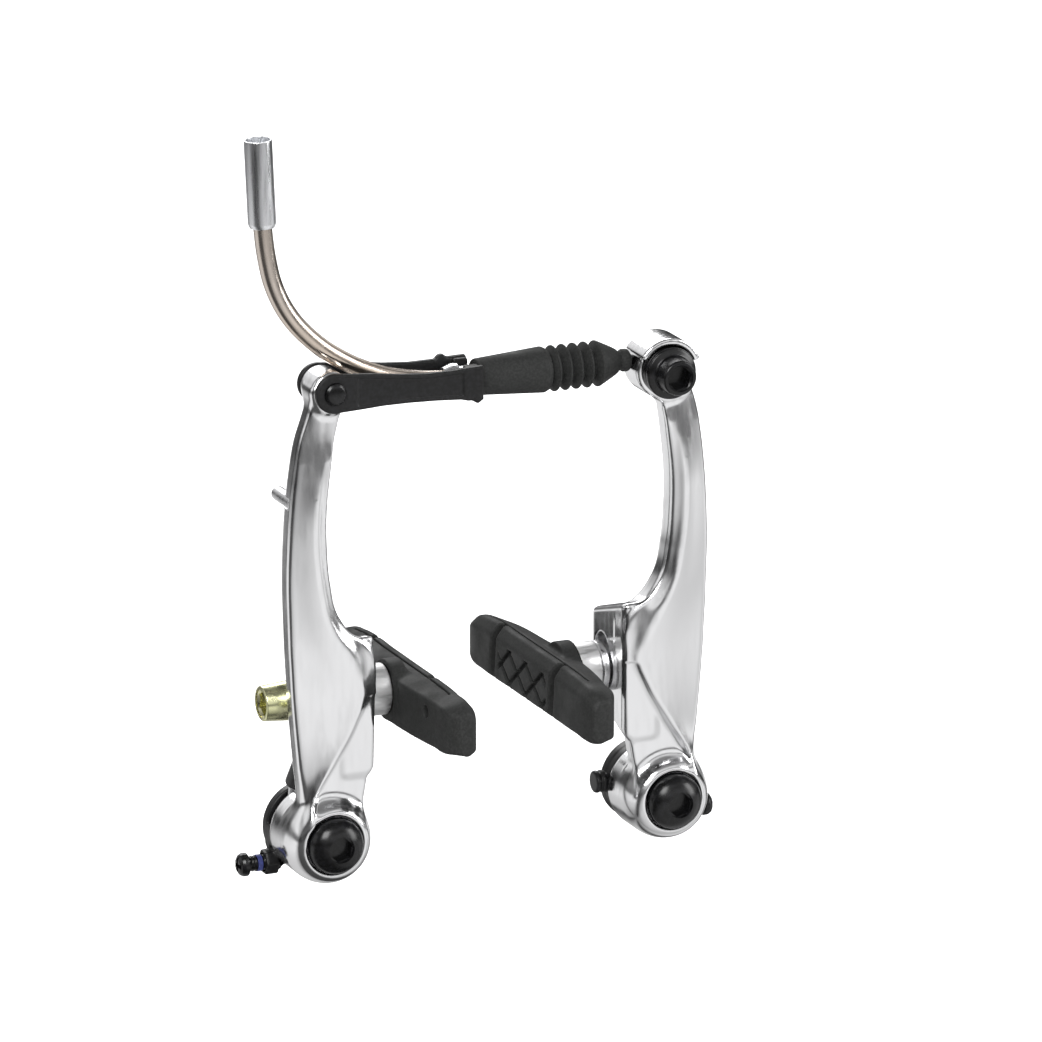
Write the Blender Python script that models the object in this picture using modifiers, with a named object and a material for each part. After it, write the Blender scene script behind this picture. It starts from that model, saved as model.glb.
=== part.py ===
"""Linear-pull rim brake: the pair of arms that clamps one bicycle wheel's rim.

Millimetres times MM; +Z up, -Y towards the front of the brake, X across the wheel.
The origin lies midway between the two pivots, on the plane where the fork bosses' shoulders end.
Every side-dependent shape is drawn for the right side (+X) and mirrored by its side's sign.
"""

import math

import bmesh
import bpy
from mathutils import Quaternion, Vector

MM = 0.001
OBJECT_NAME = "linear_pull_rim_brake"
SIDES = {"left": -1, "right": 1}

# Overall layout
PIVOT_HALF_SPACING = 40.0   # fork boss to wheel plane
PAST_ARM_X = PIVOT_HALF_SPACING + 20
CLEARANCE = 0.3             # between pieces that touch
RUNNING = 0.35              # radial, between pieces that turn or slide
SEGMENTS = 20               # round pieces
FINE_SEGMENTS = 28          # hubs

# Hub of each arm, front to back along Y
HUB_FRONT = -20.5
HUB_REAR = -5.5
HUB_RADIUS = 9.8
BEZEL_RADIUS = 8.9
RECESS_RADIUS = 6.7
RECESS_FLOOR = -18.2
SPRING_POCKET_FLOOR = -9.4

# Pivot sleeve that the arm turns on, and the bolt that keeps it on the fork boss
SLEEVE_RADIUS = 5.4
FORK_BOSS_RADIUS = 4.0
SLEEVE_FRONT = -18.6
BOLT_HEAD_RADIUS = 6.2
BOLT_HEAD_HEIGHT = 4.9
BOLT_SHANK_RADIUS = 3.0
BOLT_SHANK_LENGTH = 9.0
HEX_5MM = 5.0

# Arm blade: height, then X from the pivot of the outer edge, crest and inner edge, and Y of the crest
BLADE = (
    (3.0, 7.2, 5.6, -7.0, -18.5),
    (10.0, 6.2, 4.3, -8.4, -18.5),
    (18.0, 6.9, -0.5, -9.6, -18.5),
    (26.0, 7.6, -5.2, -10.1, -18.5),
    (34.0, 8.2, -7.6, -10.4, -18.5),
    (40.0, 8.5, -5.0, -10.0, -18.5),
    (43.5, 8.7, -3.0, -8.2, -18.5),
    (46.5, 8.8, -1.2, -4.8, -18.5),
    (50.0, 8.9, 0.4, -2.3, -18.5),
    (58.0, 9.1, 2.2, -0.2, -18.5),
    (66.0, 8.9, 3.2, 0.5, -18.5),
    (74.0, 8.4, 3.2, 0.5, -18.5),
    (82.0, 7.5, 2.3, -0.3, -18.0),
    (90.0, 6.0, 1.2, -1.5, -16.9),
    (95.0, 4.3, 0.4, -2.8, -16.6),
)
SHOULDER_Y = -16.0
INNER_Y = -16.8
BLADE_REAR_Y = -12.2

# Pad boss: a block with the slot that the pad's stud goes through
BOSS_INNER_X = PIVOT_HALF_SPACING - 10.7
BOSS_THICKNESS = 7.7
BOSS_FRONT_Y = -16.6
BOSS_REAR_Y = 1.6
BOSS_OUTLINE_Z = (44.6, 39.8, 21.0, 14.0)   # front top, rear top, rear bottom, front bottom
SLOT_Y = -4.2
SLOT_MID_Z = 28.5
SLOT_WIDTH = 6.9
SLOT_HALF_LENGTH = 7.0

# Brake pad, its stud and the two pairs of ball-and-cup washers
STUD_RADIUS = 3.0
STUD_Z = {"left": 29.0, "right": 28.0}
PAD_DROP = 1.4
PAD_FACE_X = PIVOT_HALF_SPACING - 27.1
PAD_BACK_X = PIVOT_HALF_SPACING - 18.0
PAD_FRONT_Y = -35.8
PAD_REAR_Y = 33.5
PAD_FACE_Z = (-5.4, 3.9)     # friction face, from the pad's middle
PAD_EDGE_Z = (-6.7, 6.4)     # widest edge, behind the friction face
PAD_BACK_Z = (-5.6, 5.1)
PAD_EDGE_SETBACK = 1.8
PAD_GROOVES_Y = (-14.0, 18.5)
PAD_GROOVE_WIDTH = 2.6
PAD_GROOVE_DEPTH = 3.0
PAD_SOCKET_DEPTH = 5.0
PAD_COLLAR_RADIUS = 6.5
INNER_WASHER_RADIUS = 5.7
OUTER_WASHER_RADIUS = 5.0
BALL_EDGE = 1.3
WASHER_BORE = 3.65
CUP_BORE = 3.35
OUTER_CUP_THICKNESS = 1.3
FLAT_WASHER_THICKNESS = 1.0
NUT_LENGTH = 8.4
NUT_BASE_RADIUS = 4.6
NUT_TIP_RADIUS = 3.85

# Heads of the arms
LINK_PIN_X = PIVOT_HALF_SPACING - 0.8
LINK_PIN_Z = 100.7
LINK_PIN_RADIUS = 1.9
LEFT_HEAD_RADIUS = 4.4
LEFT_HEAD_Y = (-17.3, -9.3)
ANCHOR_X = PIVOT_HALF_SPACING - 1.4
ANCHOR_Z = 97.3
RIGHT_HEAD_RADIUS = 6.5
RIGHT_HEAD_Y = (-17.0, -8.6)
HOOD_RADIUS = 7.5
HOOD_FRONT_Y = -19.6

# Cable anchor bolt
CLAMP_WASHER_RADIUS = 5.6
CLAMP_WASHER_THICKNESS = 1.9
ANCHOR_FLANGE_RADIUS = 5.75
ANCHOR_FLANGE_THICKNESS = 1.3
ANCHOR_HEAD_RADIUS = 3.9
ANCHOR_HEAD_HEIGHT = 4.4
ANCHOR_SHANK_RADIUS = 2.5

# Noodle link: two side plates and the end block that the noodle's nose sits in
LINK_PLATE = 1.5
LINK_END_X = -4.8
LINK_BLOCK_LENGTH = 3.4
LINK_END_HALF_HEIGHT = 4.1
LINK_ROUND_RADIUS = 4.35
LINK_WAIST_HALF_HEIGHT = 3.3

# Noodle, ferrule, liner and rubber boot, all in the plane of the cable
CABLE_Y = -12.6
CABLE_Z = 99.2
TUBE_RADIUS = 2.05
TUBE_BORE = 1.6
LINER_RADIUS = 1.25
LINER_BORE = 0.8
NOODLE_ROUTE = (
    (-2.0, 99.2), (-6.0, 99.2), (-10.0, 99.3), (-14.0, 99.6), (-18.0, 100.1), (-22.5, 101.0),
    (-26.0, 102.0), (-29.3, 103.3), (-32.5, 104.8), (-35.6, 106.6), (-38.6, 108.6), (-41.4, 110.9),
    (-44.0, 113.4), (-46.3, 116.1), (-48.3, 119.1), (-49.9, 122.3), (-51.1, 125.6), (-51.9, 129.0),
    (-52.5, 132.5), (-52.9, 136.0), (-53.2, 139.5), (-53.4, 142.0),
)
FERRULE_BASE = (-53.1, 137.3)
FERRULE_TOP = (-53.95, 156.5)
FERRULE_RADIUS = 3.05
HOUSING_SOCKET_RADIUS = 2.6
HOUSING_SOCKET_DEPTH = 13.0
NOSE_COLLAR_RADIUS = 3.1
NOSE_RADIUS = 2.75
BOOT_START_X = -4.3
BOOT_TIP_START_X = 25.8
BOOT_END_X = 31.7
BELLOWS_COUNT = 5
BELLOWS_PITCH = 2.55
BELLOWS_START_X = 12.6
BOOT_RADIUS = 5.05

# Spring, its holder, adjusting screw and stop pin
COIL_RADIUS = 7.0
WIRE_RADIUS = 0.8
COIL_TURNS = 2
COIL_PITCH = 1.95
COIL_REAR_Y = -4.2
LEG_X = PIVOT_HALF_SPACING + 3.9
LEG_Y = -11.1
STOP_PIN_X = PIVOT_HALF_SPACING + 6.8
STOP_PIN_Z = 76.0
STOP_PIN_RADIUS = 1.6
STOP_PIN_REAR_Y = -4.0
HOLDER_RADIUS = 9.3
HOLDER_WALL = 0.9
HOLDER_FLOOR_Y = -2.6
HOLDER_REAR_Y = -0.4
SCREW_Y = -3.0
SCREW_Z = -7.4
SCREW_RADIUS = 1.8
SCREW_HEAD_RADIUS = 2.6
SCREW_HEAD_END_X = PIVOT_HALF_SPACING + 16.3
SCREW_TIP_X = PIVOT_HALF_SPACING + 7.0
LUG_X = (PIVOT_HALF_SPACING + 7.3, PIVOT_HALF_SPACING + 10.4)
LUG_HALF = 3.6
KNOB_RADIUS = 2.5
KNOB_X = (PIVOT_HALF_SPACING - 12.0, PIVOT_HALF_SPACING - 9.4)
KNOB_Y = -2.9
KNOB_Z = 0.9

MATERIALS = {
    "forged_aluminium": ((0.80, 0.80, 0.81), 0.18, 1.0),
    "plated_steel": ((0.62, 0.62, 0.63), 0.28, 1.0),
    "stainless_tube": ((0.55, 0.52, 0.49), 0.25, 1.0),
    "bright_ferrule": ((0.76, 0.77, 0.79), 0.3, 1.0),
    "black_steel": ((0.015, 0.015, 0.017), 0.25, 0.6),
    "black_link": ((0.02, 0.02, 0.021), 0.5, 0.2),
    "black_plastic": ((0.012, 0.012, 0.013), 0.45, 0.0),
    "black_rubber": ((0.03, 0.031, 0.03), 0.75, 0.0),
    "yellow_zinc": ((0.72, 0.62, 0.22), 0.3, 1.0),
    "white_liner": ((0.85, 0.85, 0.82), 0.5, 0.0),
}


def clear_scene():
    for obj in list(bpy.data.objects):
        bpy.data.objects.remove(obj, do_unlink=True)


def new_collection(name):
    collection = bpy.data.collections.new(name)
    bpy.context.scene.collection.children.link(collection)
    return collection


clear_scene()
PARTS = new_collection(OBJECT_NAME)
CUTTERS = new_collection("cutters")
CUTTERS.hide_render = True


def material(name):
    found = bpy.data.materials.get(name)
    if found:
        return found
    colour, roughness, metallic = MATERIALS[name]
    made = bpy.data.materials.new(name)
    made.use_nodes = True
    shader = made.node_tree.nodes["Principled BSDF"]
    shader.inputs["Base Color"].default_value = (*colour, 1.0)
    shader.inputs["Roughness"].default_value = roughness
    shader.inputs["Metallic"].default_value = metallic
    made.diffuse_color = (*colour, 1.0)
    return made


def pivot(name, x, y, z):
    """An empty on a joint's axis, which the joint's pieces are parented to."""
    empty = bpy.data.objects.new(name, None)
    empty.location = Vector((x, y, z)) * MM
    empty.empty_display_size = 5 * MM
    PARTS.objects.link(empty)
    return empty


def add(name, mesh, finish=None):
    """A part in the object's collection, or a hidden helper where no finish is given."""
    obj = bpy.data.objects.new(name, mesh)
    if finish:
        PARTS.objects.link(obj)
        mesh.materials.append(material(finish))
        mesh.shade_smooth()
        mesh.set_sharp_from_angle(angle=math.radians(35))
    else:
        CUTTERS.objects.link(obj)
        obj.hide_render = True
        obj.display_type = "WIRE"
    return obj


def mesh_from(name, build):
    """A mesh made by build(bm), in millimetres, with its faces turned outwards."""
    bm = bmesh.new()
    build(bm)
    bmesh.ops.scale(bm, vec=(MM, MM, MM), verts=bm.verts)
    bmesh.ops.recalc_face_normals(bm, faces=bm.faces)
    mesh = bpy.data.meshes.new(name)
    bm.to_mesh(mesh)
    bm.free()
    return mesh


def turned(name, profile, base, direction, finish=None, segments=SEGMENTS, closed=False):
    """A Screw of (radius, height) points, listed top to bottom down the outer side.

    A helper is turned by part of a step, so that its edges cross its partner's instead of meeting them.
    """
    mesh = bpy.data.meshes.new(name)
    points = [(radius * MM, 0.0, height * MM) for radius, height in profile]
    edges = [(i, i + 1) for i in range(len(points) - 1)]
    if closed:
        edges.append((len(points) - 1, 0))
    mesh.from_pydata(points, edges, [])
    obj = add(name, mesh, finish)
    obj.location = Vector(base) * MM
    turn = Vector((0, 0, 1)).rotation_difference(Vector(direction).normalized())
    share = 0.0 if finish else 0.2 if name.endswith("cutter") else 0.5
    step = 2 * math.pi / segments
    obj.rotation_mode = "QUATERNION"
    obj.rotation_quaternion = turn @ Quaternion((0, 0, 1), share * step)
    screw = obj.modifiers.new("turn", "SCREW")
    screw.axis = "Z"
    screw.steps = screw.render_steps = segments
    screw.use_merge_vertices = True
    screw.merge_threshold = 0.00001
    screw.use_smooth_shade = True
    return obj


def rod(name, radius, start, end, finish=None, segments=SEGMENTS):
    length = (Vector(end) - Vector(start)).length
    profile = [(0, length), (radius, length), (radius, 0), (0, 0)]
    return turned(name, profile, start, Vector(end) - Vector(start), finish, segments)


def ring(name, outer, inner, start, end, finish=None, segments=SEGMENTS):
    length = (Vector(end) - Vector(start)).length
    profile = [(outer, length), (outer, 0), (inner, 0), (inner, length)]
    direction = Vector(end) - Vector(start)
    return turned(name, profile, start, direction, finish, segments, closed=True)


def hexagon(name, across_flats, start, end):
    """A hexagonal cutter along start to end."""
    radius = across_flats / math.sqrt(3)
    return rod(name, radius, start, end, None, segments=6)


def box(name, low, high, finish=None):
    def build(bm):
        bmesh.ops.create_cube(bm, size=1.0)
        size = [b - a for a, b in zip(low, high)]
        bmesh.ops.scale(bm, vec=size, verts=bm.verts)
        middle = [(a + b) / 2 for a, b in zip(low, high)]
        bmesh.ops.translate(bm, vec=middle, verts=bm.verts)

    return add(name, mesh_from(name, build), finish)


def loft(name, rings, finish=None):
    """A skin over rings of equally many points, capped at both ends."""

    def build(bm):
        rows = [[bm.verts.new(point) for point in points] for points in rings]
        count = len(rows[0])
        for lower, upper in zip(rows, rows[1:]):
            for i in range(count):
                j = (i + 1) % count
                bm.faces.new((lower[i], lower[j], upper[j], upper[i]))
        bm.faces.new(rows[0])
        bm.faces.new(rows[-1])
        bmesh.ops.triangulate(bm, faces=bm.faces)

    return add(name, mesh_from(name, build), finish)


def prism(name, outline, axis, low, high, finish=None):
    """A flat outline extruded along an axis from low to high; outline gives the other two coordinates."""

    def place(pair, value):
        point = list(pair)
        point.insert("XYZ".index(axis), value)
        return point

    rings = [[place(pair, value) for pair in outline] for value in (low, high)]
    return loft(name, rings, finish)


def tube_curve(name, points, radius, finish=None, resolution=2, cyclic=False):
    """A bevelled POLY curve along the points, made a closed mesh."""
    curve = bpy.data.curves.new(name, "CURVE")
    curve.dimensions = "3D"
    curve.bevel_depth = radius * MM
    curve.bevel_resolution = resolution
    curve.use_fill_caps = True
    spline = curve.splines.new("POLY")
    spline.points.add(len(points) - 1)
    for target, point in zip(spline.points, points):
        target.co = (*(Vector(point) * MM), 1.0)
    spline.use_cyclic_u = cyclic
    guide = bpy.data.objects.new(name, curve)
    PARTS.objects.link(guide)
    bpy.context.view_layer.update()
    graph = bpy.context.evaluated_depsgraph_get()
    mesh = bpy.data.meshes.new_from_object(guide.evaluated_get(graph))
    bm = bmesh.new()
    bm.from_mesh(mesh)
    bmesh.ops.remove_doubles(bm, verts=bm.verts, dist=0.00001)
    bmesh.ops.recalc_face_normals(bm, faces=bm.faces)
    bm.to_mesh(mesh)
    bm.free()
    mesh.materials.clear()
    bpy.data.objects.remove(guide, do_unlink=True)
    mesh.name = name
    return add(name, mesh, finish)


def boolean(obj, other, operation):
    modifier = obj.modifiers.new(other.name, "BOOLEAN")
    modifier.operation = operation
    modifier.object = other
    modifier.solver = "EXACT"
    return obj


def join(obj, *others):
    for other in others:
        boolean(obj, other, "UNION")
    return obj


def cut(obj, *others):
    for other in others:
        boolean(obj, other, "DIFFERENCE")
    return obj


def arc(centre, radius, start_deg, end_deg, count):
    """Points on an arc, start and end included."""
    angles = [start_deg + (end_deg - start_deg) * i / (count - 1) for i in range(count)]
    return [
        (centre[0] + radius * math.cos(math.radians(a)), centre[1] + radius * math.sin(math.radians(a)))
        for a in angles
    ]


def from_wheel_plane(station):
    """The blade station with its X measured from the wheel plane."""
    z, outer, crest, inner, crest_y = station
    return z, outer + PIVOT_HALF_SPACING, crest + PIVOT_HALF_SPACING, inner + PIVOT_HALF_SPACING, crest_y


def blade_section(side, station):
    """One horizontal section: a front face with a crest, a flat back with chamfered corners."""
    z, outer, crest, inner, crest_y = from_wheel_plane(station)
    corner = min(2.0, (outer - inner) / 4)
    outline = (
        (outer, BLADE_REAR_Y),
        (outer, SHOULDER_Y),
        (crest, crest_y),
        (inner, max(INNER_Y, crest_y + 0.4)),
        (inner, BLADE_REAR_Y - 1.2),
        (inner + corner, BLADE_REAR_Y),
    )
    return [(side * x, y, z) for x, y in outline]


def pad_boss(label, side):
    """The block behind and inboard of the blade, its flat inner face ready for the washers."""
    front_top, rear_top, rear_bottom, front_bottom = BOSS_OUTLINE_Z
    outline = [
        (BOSS_FRONT_Y, front_bottom),
        (BOSS_FRONT_Y, front_top),
        (BOSS_FRONT_Y + 2.5, front_top + 0.3),
        (BOSS_REAR_Y - 2.0, rear_top + 0.9),
        (BOSS_REAR_Y, rear_top - 1.4),
        (BOSS_REAR_Y, rear_bottom + 2.0),
        (BOSS_REAR_Y - 3.0, rear_bottom - 1.0),
    ]
    outer = BOSS_INNER_X + BOSS_THICKNESS
    return prism(f"{label}_boss_body", outline, "X", side * BOSS_INNER_X, side * outer)


def stud_slot(label, side):
    """Cutter for the slot, with round ends."""
    radius = SLOT_WIDTH / 2
    reach = SLOT_HALF_LENGTH - radius
    outline = arc((SLOT_Y, SLOT_MID_Z + reach), radius, 0, 180, 9)
    outline += arc((SLOT_Y, SLOT_MID_Z - reach), radius, 180, 360, 9)
    return prism(f"{label}_slot_cutter", outline, "X", side * (BOSS_INNER_X - 2), side * PAST_ARM_X)


def hub_body(label, side):
    x = side * PIVOT_HALF_SPACING
    profile = [
        (0, 0),
        (BEZEL_RADIUS - 0.6, 0),
        (BEZEL_RADIUS, -0.6),
        (HUB_RADIUS, -3.4),
        (HUB_RADIUS, HUB_FRONT - HUB_REAR),
        (0, HUB_FRONT - HUB_REAR),
    ]
    return turned(f"{label}_hub_body", profile, (x, HUB_FRONT, 0), (0, -1, 0), None, FINE_SEGMENTS)


def arm_neck(label, side, radius, centre, depth):
    """A lofted neck that carries the blade's top into the round head."""
    z, outer, crest, inner, crest_y = from_wheel_plane(BLADE[-1])
    front, rear = depth[0], depth[1] - 0.4
    low = [(outer, BLADE_REAR_Y), (outer, SHOULDER_Y), (crest, crest_y), (inner, crest_y + 0.4),
           (inner, BLADE_REAR_Y - 1.2), (inner + 2, BLADE_REAR_Y)]
    half = radius * 0.86
    high = [(centre[0] + half, rear), (centre[0] + half, front + 0.8), (centre[0] + 0.4, front + 0.2),
            (centre[0] - half, front + 0.8), (centre[0] - half, rear), (centre[0], rear)]
    rings = [
        [(side * x, y, z - 2.0) for x, y in low],
        [(side * x, y, centre[1] - radius * 0.25) for x, y in high],
    ]
    return loft(f"{label}_neck_body", rings)


def arm(label, side):
    """The forged arm: blade, hub, pad boss, head, and the holes through them."""
    x = side * PIVOT_HALF_SPACING
    body = loft(f"{label}_arm", [blade_section(side, s) for s in BLADE], "forged_aluminium")
    join(body, hub_body(label, side), pad_boss(label, side))
    if label == "left":
        centre, radius, depth = (LINK_PIN_X, LINK_PIN_Z), LEFT_HEAD_RADIUS, LEFT_HEAD_Y
    else:
        centre, radius, depth = (ANCHOR_X, ANCHOR_Z), RIGHT_HEAD_RADIUS, RIGHT_HEAD_Y
    head = rod(
        f"{label}_head_body", radius,
        (side * centre[0], depth[0], centre[1]), (side * centre[0], depth[1], centre[1]),
    )
    join(body, arm_neck(label, side, radius, centre, depth), head)
    if label == "right":
        hood = arc(centre, HOOD_RADIUS, 22, 150, 12)
        hood += arc(centre, ANCHOR_FLANGE_RADIUS + CLEARANCE, 150, 22, 12)
        join(body, prism("right_hood_body", hood, "Y", HOOD_FRONT_Y, depth[1] - 1.0))
    pocket = COIL_RADIUS + WIRE_RADIUS + 0.5
    bore = SLEEVE_RADIUS + RUNNING
    behind, ahead = 5.0, 30.0
    through = [
        (0, behind + ahead), (RECESS_RADIUS, behind + ahead), (RECESS_RADIUS, behind - RECESS_FLOOR),
        (bore, behind - RECESS_FLOOR), (bore, behind - SPRING_POCKET_FLOOR),
        (pocket, behind - SPRING_POCKET_FLOOR), (pocket, 0), (0, 0),
    ]
    hub_cutter = turned(f"{label}_hub_cutter", through, (x, behind, 0), (0, -1, 0), None, FINE_SEGMENTS)
    pin_hole = rod(
        f"{label}_stop_hole_cutter", STOP_PIN_RADIUS + CLEARANCE,
        (side * STOP_PIN_X, BLADE_REAR_Y - 2.4, STOP_PIN_Z), (side * STOP_PIN_X, 0, STOP_PIN_Z),
    )
    head_bore = LINK_PIN_RADIUS if label == "left" else ANCHOR_SHANK_RADIUS
    head_hole = rod(
        f"{label}_head_cutter", head_bore + CLEARANCE,
        (side * centre[0], -30, centre[1]), (side * centre[0], 0, centre[1]),
    )
    return cut(body, hub_cutter, pin_hole, head_hole, stud_slot(label, side))


def pivot_sleeve(label, side):
    """Turns inside the arm; its rear end stands on the fork boss's shoulder."""
    x = side * PIVOT_HALF_SPACING
    bore = FORK_BOSS_RADIUS + 0.1
    profile = [
        (SLEEVE_RADIUS, -SLEEVE_FRONT),
        (SLEEVE_RADIUS, 0),
        (bore, 0),
        (bore, -SLEEVE_FRONT),
    ]
    return turned(f"{label}_pivot_sleeve", profile, (x, 0, 0), (0, -1, 0), "plated_steel",
                  FINE_SEGMENTS, closed=True)


def mounting_bolt(label, side):
    """Domed socket bolt, standing on the sleeve's front end inside the arm's recess."""
    x = side * PIVOT_HALF_SPACING
    seat = SLEEVE_FRONT - CLEARANCE
    skirt = BOLT_HEAD_HEIGHT * 0.3
    dome = BOLT_HEAD_HEIGHT - skirt
    profile = [(0, BOLT_HEAD_HEIGHT)]
    for angle in (72, 56, 42, 30, 18, 6):
        across = BOLT_HEAD_RADIUS * math.cos(math.radians(angle))
        profile.append((across, skirt + dome * math.sin(math.radians(angle))))
    profile += [
        (BOLT_HEAD_RADIUS, skirt),
        (BOLT_HEAD_RADIUS, 0),
        (BOLT_SHANK_RADIUS, 0),
        (BOLT_SHANK_RADIUS, -BOLT_SHANK_LENGTH),
        (0, -BOLT_SHANK_LENGTH),
    ]
    bolt = turned(f"{label}_mounting_bolt", profile, (x, seat, 0), (0, -1, 0), "black_steel", FINE_SEGMENTS)
    socket = hexagon(f"{label}_socket_cutter", HEX_5MM, (x, seat - 2.2, 0), (x, seat - 12, 0))
    return cut(bolt, socket)


def spring_holder(label, side):
    """Plastic cup behind the arm, open where the spring's leg leaves it, with the screw's lug."""
    x = side * PIVOT_HALF_SPACING
    depth = HOLDER_REAR_Y - (HUB_REAR + CLEARANCE)
    floor = HOLDER_REAR_Y - HOLDER_FLOOR_Y
    bore = SLEEVE_RADIUS + CLEARANCE
    profile = [
        (HOLDER_RADIUS, depth),
        (HOLDER_RADIUS, 0),
        (bore, 0),
        (bore, floor),
        (HOLDER_RADIUS - HOLDER_WALL, floor),
        (HOLDER_RADIUS - HOLDER_WALL, depth),
    ]
    holder = turned(f"{label}_spring_holder", profile, (x, HOLDER_REAR_Y, 0), (0, -1, 0),
                    "black_plastic", FINE_SEGMENTS, closed=True)
    reach = HOLDER_RADIUS * 2
    gate_points = [(0, 0)] + arc((0, 0), reach, 8, 88, 6)
    gate = prism(f"{label}_gate_cutter", [(x + side * a, b) for a, b in gate_points], "Y",
                 HUB_REAR - 2, HOLDER_FLOOR_Y)
    knob = rod(f"{label}_knob_body", KNOB_RADIUS, (side * KNOB_X[0], KNOB_Y, KNOB_Z),
               (side * KNOB_X[1], KNOB_Y, KNOB_Z))
    knob_neck = rod(f"{label}_knob_neck_body", KNOB_RADIUS * 0.65, (side * (KNOB_X[1] - 0.5), KNOB_Y, KNOB_Z),
                    (side * (KNOB_X[1] + 0.9), KNOB_Y, KNOB_Z), None, 12)
    lug_low = (min(side * LUG_X[0], side * LUG_X[1]), HOLDER_REAR_Y - 4.4, SCREW_Z - LUG_HALF)
    lug_high = (max(side * LUG_X[0], side * LUG_X[1]), HOLDER_REAR_Y, SCREW_Z + LUG_HALF)
    lug = box(f"{label}_screw_lug_body", lug_low, lug_high)
    bridge_outline = [(x + side * a, b) for a, b in ((3.2, -8.3), (7.6, -10.4), (8.6, -4.0), (7.9, -2.6))]
    bridge = prism(f"{label}_lug_bridge_body", bridge_outline, "Y", HOLDER_FLOOR_Y + 0.1, HOLDER_REAR_Y)
    cut(holder, gate)
    join(holder, bridge, lug, knob_neck, knob)
    tapping = rod(f"{label}_screw_cutter", SCREW_RADIUS + CLEARANCE,
                  (side * (PIVOT_HALF_SPACING + 5), SCREW_Y, SCREW_Z), (side * PAST_ARM_X, SCREW_Y, SCREW_Z))
    return cut(holder, tapping)


def return_spring(label, side):
    """Coil round the pivot with a leg that leans on the stop pin."""
    x = side * PIVOT_HALF_SPACING
    leave = 50.0
    per_turn = 16
    steps = COIL_TURNS * per_turn
    points = []
    for i in range(steps, -1, -1):
        angle = math.radians(leave - 360.0 * i / per_turn)
        y = COIL_REAR_Y - COIL_PITCH * i / per_turn
        points.append((x + side * COIL_RADIUS * math.cos(angle), y, COIL_RADIUS * math.sin(angle)))
    leg_top = (side * (STOP_PIN_X - STOP_PIN_RADIUS - WIRE_RADIUS - CLEARANCE), LEG_Y, STOP_PIN_Z + 4.0)
    points += [
        (side * (LEG_X + 0.1), COIL_REAR_Y, 7.6),
        (side * LEG_X, COIL_REAR_Y - 0.3, HUB_RADIUS - 0.2),
        (side * LEG_X, LEG_Y, HUB_RADIUS + 8.4),
        (side * LEG_X, LEG_Y, HUB_RADIUS + 10.7),
        leg_top,
    ]
    return tube_curve(f"{label}_return_spring", points, WIRE_RADIUS, "plated_steel")


def spring_sleeve(label, side):
    """Plastic sleeve on the slanting stretch of the spring's leg."""
    low = Vector((side * LEG_X, COIL_REAR_Y - 0.3, HUB_RADIUS - 0.2))
    high = Vector((side * LEG_X, LEG_Y, HUB_RADIUS + 8.4))
    run = high - low
    return ring(f"{label}_spring_sleeve", WIRE_RADIUS + 1.15, WIRE_RADIUS + 0.3,
                low + run * 0.12, low + run * 0.86, "black_plastic", 16)


def stop_pin(label, side):
    """Peg in the back of the blade that the spring's leg bears on."""
    profile_length = STOP_PIN_REAR_Y - (BLADE_REAR_Y - 2.0)
    profile = [
        (0, profile_length),
        (STOP_PIN_RADIUS - 0.5, profile_length),
        (STOP_PIN_RADIUS, profile_length - 0.6),
        (STOP_PIN_RADIUS, 0),
        (0, 0),
    ]
    base = (side * STOP_PIN_X, BLADE_REAR_Y - 2.0, STOP_PIN_Z)
    return turned(f"{label}_spring_stop_pin", profile, base, (0, 1, 0), "plated_steel", 16)


def tension_screw(label, side):
    """Cross-slotted screw that preloads the spring."""
    reach = SCREW_HEAD_END_X - SCREW_TIP_X
    profile = [
        (0, reach),
        (SCREW_HEAD_RADIUS - 0.7, reach),
        (SCREW_HEAD_RADIUS, reach - 0.9),
        (SCREW_HEAD_RADIUS, reach - 2.1),
        (SCREW_RADIUS, reach - 2.4),
        (SCREW_RADIUS, 0.5),
        (SCREW_RADIUS - 0.5, 0),
        (0, 0),
    ]
    screw = turned(f"{label}_tension_screw", profile, (side * SCREW_TIP_X, SCREW_Y, SCREW_Z),
                   (side, 0, 0), "black_steel", 20)
    slots = []
    for name, half in (("tall", (0.4, 1.7)), ("wide", (1.7, 0.4))):
        low = (min(side * (SCREW_HEAD_END_X - 1.2), side * PAST_ARM_X), SCREW_Y - half[0], SCREW_Z - half[1])
        high = (max(side * (SCREW_HEAD_END_X - 1.2), side * PAST_ARM_X), SCREW_Y + half[0], SCREW_Z + half[1])
        slots.append(box(f"{label}_{name}_slot_cutter", low, high))
    return cut(screw, *slots)


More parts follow.
